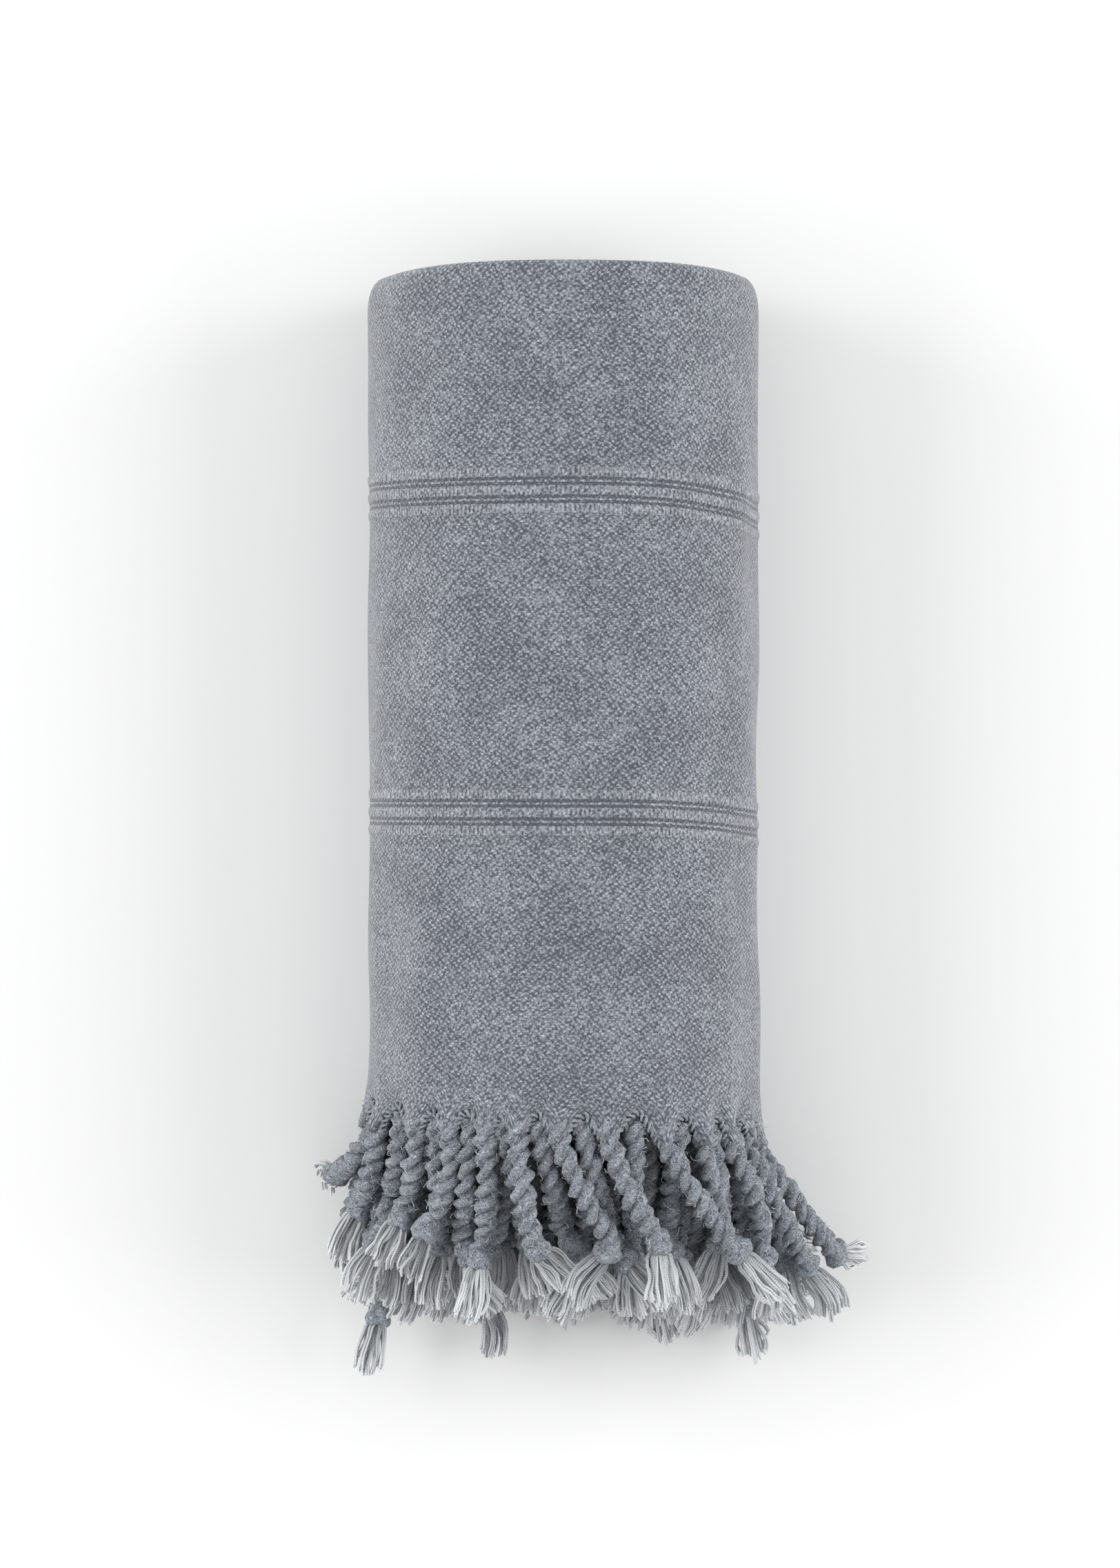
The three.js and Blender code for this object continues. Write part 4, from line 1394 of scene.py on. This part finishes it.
EDGE_PITCH = 0.0042
ROPE_STEP = 0.0009
ROPE_POINTS_APART = 2.4
ROPE_SWELL = 0.1
ROPE_SIZES = (0.95, 1.06)
ROOT_INSIDE = 2.2             # how far a rope starts inside the hem
KNOT_PATH_POINTS = 30
KNOT_SHAPES = (               # across, along and up
    (0.8, 0.95, 1.5),
    (0.86, 0.85, 1.4),
    (0.76, 1.0, 1.6),
)
KNOT_KINDS = len(KNOT_SHAPES)
KNOT_REACH = 0.0052
FIBRE_POINTS = 4
FIBRE_RADIUS = 0.00011
FIBRE_SHAPES = (              # reach, bend and rise
    (2.2, 0.9, 0.75),
    (1.6, -1.1, 0.9),
    (2.6, 1.3, 0.6),
    (1.3, 0.7, 1.1),
)
FIBRE_CURL = 2.6
FIBRE_RETURN = 2.4
FIBRE_SUNK = 0.15             # how deep a fibre starts in the rope
YARN_POINTS = 7
LOCKS = 10                    # of yarns that cling together in one brush
LOCK_WIDTH = (0.68, 0.98)     # of a whole brush, as a share of the widest
LOCK_SWEEP = 1.2
LOCK_OPENING = (0.3, 0.5)     # powers of the length along it
LOCK_WAVE = 0.55
LOCK_RISE = 0.45
LOCK_LENGTH = 0.9
LOCK_TONE = 0.45
YARN_SIDEWAYS = 0.62
YARN_NARROWING = 0.14
YARN_LENGTH = 0.45
YARN_STRAY = 0.12
YARN_TONE = (-0.1, 0.2)
YARN_THICKNESS = 1.05
YARN_TAPER = 0.3
SWEEP_BENDS = (2, 4)
WAVE_BENDS = (5, 10)
WAVE_ONSET = 0.6
RISE_BENDS = (4, 8)
LOCK_PLACE = (0.2, 0.8)
BRUSH_NECK = 2
BRUSH_FACING = 6
BRUSH_LONGER = 1.6
BRUSH_FLATTENING = 0.6
BRUSH_SHADE = 0.6
BRUSH_INSIDE = 1.8            # how far a brush starts inside its knot
BRUSH_THICKNESS = (1.4, 0.9)
ROUNDED_OFF = 2.2             # how much shorter a brush is at its sides
KNOT_TURN = 0.9
KNOT_SIZES = (0.92, 1.08)
GATHER_YARNS = 7
GATHER_REACH = (3.4, 4.6)     # to each side of a tassel
GATHER_INSIDE = 1.2
GATHER_PAST = 0.5
GATHER_MEET = 4
GATHER_NEARER = 0.45
GATHER_ON_ROPE = 2.6
GATHER_LIFTS = (0.5, 0.35, 0.6, 1.6)
GATHER_SIZES = (1.0, 1.6)
GATHER_SHADE = 0.4
# the warp ends sit low on the yarns' run from painted shade to painted highlight, so mostly in painted shade
GATHER_TIP = 0.1
EDGE_POINTS_APART = 1.3
EDGE_PAST = 0.35
EDGE_LIFT = 0.25


class Line:
    """A tassel's line, read by the length along it."""

    def __init__(self, item):
        self.points = np.array(item.line)
        steps = np.linalg.norm(np.diff(self.points, axis=0), axis=1)
        self.lengths = np.concatenate([[0], np.cumsum(steps)])

    def at(self, length):
        length = np.asarray(length, dtype=float)
        axes = [np.interp(length, self.lengths, self.points[:, axis]) for axis in range(3)]
        within = np.stack(axes, axis=-1)
        past = np.maximum(length - self.lengths[-1], 0)[..., None]
        last = self.points[-1] - self.points[-2]
        return within + past * last / np.linalg.norm(last)

    def forward(self, length):
        run = self.at(length + 2.5) - self.at(max(0, length - 2.5))
        return run / np.linalg.norm(run)


def side_frame(forward):
    """Across and up, as seen along a tassel."""
    across = np.cross(forward, (0, 0, 1))
    across /= np.linalg.norm(across)
    return across, np.cross(across, forward)


def rope_paths(hem):
    paths = Paths("phase", "thickness")
    chance = np.random.default_rng(hem.seed)
    for item in lay_tassels():
        if item.hem is not hem:
            continue
        line = Line(item)
        count = max(6, round(item.tassel.rope / ROPE_POINTS_APART))
        lengths = np.linspace(2, item.tassel.rope + 1.5, count)
        radius = hem_radius(hem, item.back)
        pull = pull_at(item.back, 0)
        root = [place(item.back, radius, y - pull) for y in (ROOT_INSIDE, -1.2)]
        points = np.concatenate([root, line.at(lengths)])
        wide = np.concatenate([[0.8, 1.0], 1 + ROPE_SWELL * waver(lengths, 1, chance.integers(1000), 19)])
        wide *= chance.uniform(*ROPE_SIZES)
        paths.add(in_frame(points), phase=chance.uniform(0, TURN), thickness=wide)
    return paths


def knot_path(number):
    """A tight overhand knot: a closed trefoil, drawn out along the rope."""
    turn = TURN * np.arange(KNOT_PATH_POINTS) / KNOT_PATH_POINTS
    across = np.sin(turn) + 2 * np.sin(2 * turn)
    along = np.cos(turn) - 2 * np.cos(2 * turn)
    up = -np.sin(3 * turn)
    return np.stack([across, along, up], axis=-1) * KNOT_SHAPES[number] * MM


def make_knot_kinds(material, radius, sides):
    kinds = []
    for number in range(KNOT_KINDS):
        paths = Paths("thickness")
        paths.add(knot_path(number), closed=True, thickness=1.0)
        kind = paths.make(f"knot_kind_{number + 1}")
        values = {"Radius": radius, "Sides": sides, "Floor": -1.0, "Material": material}
        grow(kind, trees()["yarn"], **values)
        # reach from the knot's middle sets the painted shade in the knot's hollow middle
        reach = kind.data.attributes.new("reach", "FLOAT", "POINT")
        reach.data.foreach_set("value", [vert.co.length / KNOT_REACH for vert in kind.data.vertices])
        kinds.append(kind)
    return kinds


def make_fibre_kinds():
    """Short fibres that leave the surface and curl back to it."""
    share = np.linspace(0, 1, FIBRE_POINTS)
    kinds = []
    for number, (long, bend, rise) in enumerate(FIBRE_SHAPES):
        side = bend * np.sin(FIBRE_CURL * share) ** 2
        height = rise * np.sin(FIBRE_RETURN * share) - FIBRE_SUNK
        points = np.stack([long * share, side, height], axis=-1) * MM
        paths = Paths("thickness")
        paths.add(points, thickness=1.0)
        kind = paths.make(f"fibre_kind_{number + 1}")
        grow(kind, trees()["yarn"], Radius=FIBRE_RADIUS, Sides=3, Floor=-1.0, Material=finishes()["fuzz"])
        kinds.append(kind)
    return kinds


def knot_points(hem):
    chance = np.random.default_rng(hem.seed + 1)
    points, turns, kinds, sizes = [], [], [], []
    for item in lay_tassels():
        if item.hem is not hem:
            continue
        line = Line(item)
        middle = item.tassel.rope + KNOT / 2
        forward = line.forward(middle)
        across, up = side_frame(forward)
        basis = Matrix((across, forward, up)).transposed()
        spin = Matrix.Rotation(chance.uniform(-KNOT_TURN, KNOT_TURN), 3, "Y")
        points.append(in_frame(line.at(middle)))
        turns.append((basis @ spin).to_euler())
        kinds.append(int(chance.integers(KNOT_KINDS)))
        sizes.append(chance.uniform(*KNOT_SIZES, 3))
    return points, turns, kinds, sizes


def brush_paths(hem, yarns):
    """The cut yarns past each knot, spread into a flat brush."""
    paths = Paths("thickness", "tip", "tone")
    chance = np.random.default_rng(hem.seed + 2)
    share = np.linspace(0, 1, YARN_POINTS)
    for item in lay_tassels():
        if item.hem is not hem:
            continue
        line = Line(item)
        start = item.tassel.rope + KNOT - BRUSH_INSIDE
        across, up = side_frame(line.forward(start + BRUSH_FACING))
        shade = chance.uniform(0, BRUSH_SHADE)
        wide = chance.uniform(*LOCK_WIDTH)
        sweep = chance.normal(0, LOCK_SWEEP) * np.sin(chance.uniform(*SWEEP_BENDS) * share)
        for lock in range(LOCKS):
            middle = 2 * (lock + chance.uniform(*LOCK_PLACE)) / LOCKS - 1
            level = chance.uniform(-1, 1) * math.sqrt(1 - BRUSH_FLATTENING * middle * middle)
            long = BRUSH + BRUSH_LONGER + chance.normal(0, LOCK_LENGTH) - ROUNDED_OFF * middle * middle
            open_out = (BRUSH_HALF_WIDTH - BRUSH_NECK) * wide * middle * share ** chance.uniform(*LOCK_OPENING)
            wave = chance.normal(0, LOCK_WAVE)
            wave = wave * np.sin(chance.uniform(*WAVE_BENDS) * share + chance.uniform(0, TURN))
            lift = level * (BRUSH_THICKNESS[0] + BRUSH_THICKNESS[1] * share)
            lift = lift + chance.normal(0, LOCK_RISE) * np.sin(chance.uniform(*RISE_BENDS) * share)
            lock_tone = chance.uniform(0, LOCK_TONE)
            for _ in range(yarns // LOCKS):
                aside = chance.uniform(-1, 1)
                above = chance.uniform(-1, 1)
                tight = YARN_SIDEWAYS - YARN_NARROWING * np.sin(math.pi * share)
                spread = BRUSH_NECK * middle + open_out + sweep * share + wave * share ** WAVE_ONSET
                spread = spread + aside * tight
                height = lift + above * tight + chance.normal(0, YARN_STRAY, YARN_POINTS) * share
                points = line.at(start + (long + chance.normal(0, YARN_LENGTH)) * share)
                points = points + np.outer(spread, across) + np.outer(height, up)
                tone = np.clip(shade + lock_tone + chance.uniform(*YARN_TONE), 0, 1)
                paths.add(in_frame(points), thickness=YARN_THICKNESS - YARN_TAPER * share, tip=share, tone=tone)
    return paths


def gather_paths(hem):
    """Warp ends that run together from the hem into each rope."""
    paths = Paths("thickness", "tip", "tone")
    chance = np.random.default_rng(hem.seed + 3)
    for item in lay_tassels():
        if item.hem is not hem:
            continue
        line = Line(item)
        turn_length = TURN * hem_radius(hem, item.back)
        for number in range(GATHER_YARNS):
            side = (number / (GATHER_YARNS - 1) - 0.5) * 2
            reach = side * chance.uniform(*GATHER_REACH)
            back = item.back + reach / turn_length
            radius = hem_radius(hem, back) + GATHER_LIFTS[0]
            edge = float(hem_edge(hem, back)) - float(pull_at(back, 0))
            near = item.back + GATHER_NEARER * reach / turn_length
            points = [
                place(back, radius, edge + GATHER_INSIDE),
                place(back, radius + GATHER_LIFTS[1], edge - GATHER_PAST),
                place(near, radius + GATHER_LIFTS[2], edge - GATHER_NEARER * (edge + GATHER_MEET)),
                line.at(GATHER_ON_ROPE) + np.array([0, 0, 1.0]) * (1 - abs(side)) * GATHER_LIFTS[3],
                line.at(2 * GATHER_ON_ROPE),
            ]
            wide = chance.uniform(*GATHER_SIZES)
            tone = chance.uniform(0, GATHER_SHADE)
            paths.add(in_frame(points), thickness=wide, tip=GATHER_TIP, tone=tone)
    return paths


def cord_paths(hem):
    """The edge of a hem, along the spiral."""
    length = np.arange(hem_length(hem, hem.start), hem_length(hem, hem.end), EDGE_POINTS_APART)
    backs = np.array([back_at_length(hem, one) for one in length])
    edge = hem_edge(hem, backs) - pull_at(backs, 0) - EDGE_PAST
    paths = Paths("phase", "thickness")
    points = place(backs, hem_radius(hem, backs) + EDGE_LIFT, edge)
    paths.add(in_frame(points), phase=0.0, thickness=1.0)
    return paths


# Settings

class TowelCloth(bpy.types.PropertyGroup):
    """Sizes of the cloth."""

    thickness: FloatProperty(
        name="Thickness", description="Thickness of one layer of the cloth",
        default=0.0017, unit="LENGTH")
    rib_height: FloatProperty(
        name="Rib height", description="How far the ribs of a band stand proud",
        default=0.0005, unit="LENGTH")


class TowelTassels(bpy.types.PropertyGroup):
    """Sizes of the tassels and hems."""

    ply_radius: FloatProperty(
        name="Ply radius", description="Radius of one of a rope's two plies",
        default=0.0024, unit="LENGTH")
    ply_offset: FloatProperty(
        name="Ply offset", description="From a rope's middle to a ply's middle",
        default=0.0013, unit="LENGTH")
    pitch: FloatProperty(
        name="Twist pitch", description="Length of one full turn of a rope",
        default=0.0118, unit="LENGTH")
    unevenness: FloatProperty(
        name="Unevenness", description="How far the plies swell and shrink",
        default=0.0013, unit="LENGTH")
    knot_radius: FloatProperty(
        name="Knot strand radius", description="Radius of the strand in a knot",
        default=0.0025, unit="LENGTH")
    brush_yarns: IntProperty(
        name="Brush yarns", description="Cut yarns in the brush of a tassel", default=60)
    yarn_radius: FloatProperty(
        name="Yarn radius", description="Radius of a loose yarn", default=0.00048, unit="LENGTH")
    fuzz_density: FloatProperty(
        name="Fuzz density", description="Fibres for each square metre of rope", default=38000.0)
    cord_ply: FloatProperty(
        name="Hem ply", description="Radius of a ply of the hem's twisted edge",
        default=0.0008, unit="LENGTH")


class TowelColours(bpy.types.PropertyGroup):
    """Colours of the cotton."""

    # the cloth's darkest tone, in the ground between raised threads, partly painted shade
    deep_colour: FloatVectorProperty(
        name="Ground", description="Between the raised threads",
        subtype="COLOR", default=(0.06, 0.067, 0.084))
    pale_colour: FloatVectorProperty(
        name="Threads", description="Raised threads", subtype="COLOR", default=(0.425, 0.452, 0.495))
    rib_fade: FloatProperty(
        name="Rib fading", description="How much paler the ribs have washed",
        default=0.26, subtype="FACTOR")
    # painted shade colour of the grooves between strands, and of the loose yarns near their start
    tassel_shade_colour: FloatVectorProperty(
        name="Tassel grooves", description="Between strands",
        subtype="COLOR", default=(0.058, 0.074, 0.102))
    rope_pale_colour: FloatVectorProperty(
        name="Tassel strands", description="On the strands",
        subtype="COLOR", default=(0.55, 0.605, 0.69))
    # the painted highlight at the yarns' cut ends
    brush_colour: FloatVectorProperty(
        name="Cut yarn", description="At the cut ends", subtype="COLOR", default=(0.66, 0.68, 0.69))

    fuzz_colour: FloatVectorProperty(
        name="Fuzz", description="Single fibres that stand out",
        subtype="COLOR", default=(0.5, 0.53, 0.57))


class TowelStage(bpy.types.PropertyGroup):
    """The floor, the light and the camera."""

    floor_colour: FloatVectorProperty(
        name="Floor", description="Colour of the floor", subtype="COLOR", default=(0.73, 0.73, 0.73))
    camera_height: FloatProperty(
        name="Camera height", description="Above the floor", default=2.142, unit="LENGTH")
    lens: FloatProperty(
        name="Lens", description="Focal length", default=149.1, unit="CAMERA")
    side_light: FloatProperty(
        name="Side light", description="Power of each side light", default=22.0, unit="POWER")
    top_light: FloatProperty(
        name="Top light", description="Power of the top light", default=12.0, unit="POWER")
    world_light: FloatProperty(
        name="World light", description="Strength of the light all round", default=0.62)


# Operators

def keep(piece, *nodes):
    """Puts a finished piece on the towel's body, in place of the solids that it stands for."""
    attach(piece, BODY)
    if nodes:
        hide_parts(*nodes)


class TOWEL_OT_cloth(bpy.types.Operator):
    """Fold the cloth into six layers and wind it into a roll"""

    bl_idname = "towel.cloth"
    bl_label = "Cloth"

    def execute(self, context):
        settings = context.scene.towel_cloth
        mesh = make_cloth_mesh(settings.thickness, settings.rib_height / MM)
        cloth = bpy.data.objects.new("towel_cloth", mesh)
        context.scene.collection.objects.link(cloth)
        mesh.materials.append(finishes()["cloth"])
        mesh.shade_smooth()
        solidify = cloth.modifiers.new("Thickness", "SOLIDIFY")
        solidify.thickness = settings.thickness
        solidify.offset = 0
        keep(cloth, "rolled_cloth")
        return {"FINISHED"}


class TOWEL_OT_hems(bpy.types.Operator):
    """Twist the edge of both hems and gather their warp ends"""

    bl_idname = "towel.hems"
    bl_label = "Hems"

    def execute(self, context):
        settings = context.scene.towel_tassels
        for hem in (OUTER_HEM, INNER_HEM):
            cord = cord_paths(hem).make(f"{hem.name}_hem_edge")
            values = {
                "Ply Radius": settings.cord_ply,
                "Ply Offset": settings.cord_ply * 0.9,
                "Pitch": EDGE_PITCH,
                "Step": ROPE_STEP,
                "Sides": 5,
                "Material": finishes()["edge"],
            }
            grow(cord, trees()["rope"], **values)
            keep(cord)
            ends = gather_paths(hem).make(f"{hem.name}_hem_warp_ends")
            values = {"Radius": settings.yarn_radius, "Sides": 4, "Material": finishes()["yarn"]}
            grow(ends, trees()["yarn"], **values)
            keep(ends)
        return {"FINISHED"}


class TOWEL_OT_ropes(bpy.types.Operator):
    """Twist the ropes of all tassels"""

    bl_idname = "towel.ropes"
    bl_label = "Ropes"

    def execute(self, context):
        settings = context.scene.towel_tassels
        for hem in (OUTER_HEM, INNER_HEM):
            ropes = rope_paths(hem).make(f"{hem.name}_ropes")
            values = {
                "Ply Radius": settings.ply_radius,
                "Ply Offset": settings.ply_offset,
                "Pitch": settings.pitch,
                "Step": ROPE_STEP,
                "Sides": 8,
                "Unevenness": settings.unevenness,
                "Material": finishes()[hem.name],
            }
            grow(ropes, trees()["rope"], **values)
            keep(ropes, f"fringed_hem_{hem.name}")
        return {"FINISHED"}


class TOWEL_OT_knots(bpy.types.Operator):
    """Tie the knots of all tassels"""

    bl_idname = "towel.knots"
    bl_label = "Knots"

    def execute(self, context):
        settings = context.scene.towel_tassels
        kinds = make_knot_kinds(finishes()["outer"], settings.knot_radius, 8)
        tree = knot_tree(kinds)
        for hem in (OUTER_HEM, INNER_HEM):
            points, turns, numbers, sizes = knot_points(hem)
            mesh = bpy.data.meshes.new(f"{hem.name}_knots")
            mesh.from_pydata([tuple(point) for point in points], [], [])
            layer = mesh.attributes.new("turn", "FLOAT_VECTOR", "POINT")
            layer.data.foreach_set("vector", np.array(turns).ravel())
            layer = mesh.attributes.new("size", "FLOAT_VECTOR", "POINT")
            layer.data.foreach_set("vector", np.array(sizes).ravel())
            layer = mesh.attributes.new("kind", "INT", "POINT")
            layer.data.foreach_set("value", numbers)
            knots = bpy.data.objects.new(f"{hem.name}_knots", mesh)
            context.scene.collection.objects.link(knots)
            grow(knots, tree, Material=finishes()[hem.name])
            keep(knots)
        for kind in kinds:
            bpy.data.objects.remove(kind)
        return {"FINISHED"}


class TOWEL_OT_brushes(bpy.types.Operator):
    """Spread the cut yarns past the knots"""

    bl_idname = "towel.brushes"
    bl_label = "Brushes"

    def execute(self, context):
        settings = context.scene.towel_tassels
        for hem in (OUTER_HEM, INNER_HEM):
            brushes = brush_paths(hem, settings.brush_yarns).make(f"{hem.name}_brushes")
            values = {"Radius": settings.yarn_radius, "Sides": 3, "Material": finishes()["yarn"]}
            grow(brushes, trees()["yarn"], **values)
            keep(brushes)
        return {"FINISHED"}


class TOWEL_OT_fuzz(bpy.types.Operator):
    """Strew short curled fibres over the ropes"""

    bl_idname = "towel.fuzz"
    bl_label = "Fuzz"

    def execute(self, context):
        kinds = make_fibre_kinds()
        tree = fuzz_tree(kinds)
        density = context.scene.towel_tassels.fuzz_density
        for hem in (OUTER_HEM, INNER_HEM):
            ropes = bpy.data.objects[f"{hem.name}_ropes"]
            fuzz = bpy.data.objects.new(f"{hem.name}_fuzz", ropes.data.copy())
            context.scene.collection.objects.link(fuzz)
            grow(fuzz, tree, Density=density, Seed=hem.seed, Material=finishes()["fuzz"])
            keep(fuzz)
        for kind in kinds:
            bpy.data.objects.remove(kind)
        return {"FINISHED"}


class TOWEL_OT_sheet(bpy.types.Operator):
    """Do nothing: the flat size of the cloth is not stated here"""

    bl_idname = "towel.sheet"
    bl_label = "Flat size"

    def execute(self, context):
        return {"FINISHED"}


# Metres, but for the camera's sensor, which is in millimetres
FLOOR_HALF = 8.0
SIDE_LIGHT_SIZE = (1.2, 1.6)
SIDE_LIGHT_X = 1.3
SIDE_LIGHT_YZ = (0.1, 0.75)
LIT_PLACE = (0, 0, 0.05)
TOP_LIGHT_SIZE = (2.4, 2.4)
TOP_LIGHT_PLACE = (0, 0.3, 2.6)
CAMERA_XY = (-0.0105, 0.0147)
SENSOR = 36


def add_light(name, size, place_at, power, target):
    light = bpy.data.lights.new(name, "AREA")
    light.shape = "RECTANGLE"
    light.size, light.size_y = size
    light.energy = power
    lamp = bpy.data.objects.new(name, light)
    lamp.location = place_at
    lamp.rotation_euler = (Vector(target) - Vector(place_at)).to_track_quat("-Z", "Y").to_euler()
    bpy.context.scene.collection.objects.link(lamp)


class TOWEL_OT_stage(bpy.types.Operator):
    """Set up the floor, the soft light and the camera"""

    bl_idname = "towel.stage"
    bl_label = "Stage"

    def execute(self, context):
        scene = context.scene
        settings = scene.towel_stage
        half = FLOOR_HALF
        mesh = bpy.data.meshes.new("floor")
        corners = [(-half, -half, 0), (half, -half, 0), (half, half, 0), (-half, half, 0)]
        mesh.from_pydata(corners, [], [(0, 1, 2, 3)])
        material, _, shader = new_material("pale_floor")
        shader.inputs["Base Color"].default_value = (*settings.floor_colour, 1)
        shader.inputs["Roughness"].default_value = 1
        shader.inputs["Specular IOR Level"].default_value = 0
        mesh.materials.append(material)
        floor = bpy.data.objects.new("floor", mesh)
        scene.collection.objects.link(floor)
        world = bpy.data.worlds.new("studio")
        world.use_nodes = True
        background = world.node_tree.nodes["Background"]
        background.inputs["Color"].default_value = (1, 1, 1, 1)
        background.inputs["Strength"].default_value = settings.world_light
        scene.world = world
        for name, x in (("left_light", -SIDE_LIGHT_X), ("right_light", SIDE_LIGHT_X)):
            add_light(name, SIDE_LIGHT_SIZE, (x, *SIDE_LIGHT_YZ), settings.side_light, LIT_PLACE)
        add_light("top_light", TOP_LIGHT_SIZE, TOP_LIGHT_PLACE, settings.top_light, (0, 0, 0))
        data = bpy.data.cameras.new("camera")
        data.sensor_fit = "VERTICAL"
        data.sensor_height = SENSOR
        data.lens = settings.lens
        camera = bpy.data.objects.new("camera", data)
        camera.location = (*CAMERA_XY, settings.camera_height)
        scene.collection.objects.link(camera)
        scene.camera = camera
        scene.view_settings.view_transform = "Standard"
        return {"FINISHED"}


class TOWEL_PT_panel(bpy.types.Panel):
    """Lists the towel's operators and settings"""

    bl_idname = "TOWEL_PT_panel"
    bl_label = "Towel"
    bl_space_type = "VIEW_3D"
    bl_region_type = "UI"
    bl_category = "Towel"

    def draw(self, context):
        column = self.layout.column()
        for operator in OPERATORS:
            column.operator(operator.bl_idname)
        for name in SETTINGS:
            group = getattr(context.scene, name)
            for key in group.__annotations__:
                column.prop(group, key)


OPERATORS = (
    TOWEL_OT_stage,
    TOWEL_OT_cloth,
    TOWEL_OT_hems,
    TOWEL_OT_ropes,
    TOWEL_OT_knots,
    TOWEL_OT_brushes,
    TOWEL_OT_fuzz,
    TOWEL_OT_sheet,
)
SETTINGS = {
    "towel_cloth": TowelCloth,
    "towel_tassels": TowelTassels,
    "towel_colours": TowelColours,
    "towel_stage": TowelStage,
}


def register():
    for kind in (*SETTINGS.values(), *OPERATORS, TOWEL_PT_panel):
        bpy.utils.register_class(kind)
    for name, kind in SETTINGS.items():
        setattr(bpy.types.Scene, name, PointerProperty(type=kind))


def unregister():
    for name in SETTINGS:
        delattr(bpy.types.Scene, name)
    for kind in (TOWEL_PT_panel, *reversed(OPERATORS), *SETTINGS.values()):
        bpy.utils.unregister_class(kind)


def main():
    register()
    bpy.ops.towel.stage()
    bpy.ops.towel.cloth()
    bpy.ops.towel.hems()
    bpy.ops.towel.ropes()
    bpy.ops.towel.knots()
    bpy.ops.towel.brushes()
    bpy.ops.towel.fuzz()
    bpy.ops.towel.sheet()


if __name__ == "__main__":
    main()
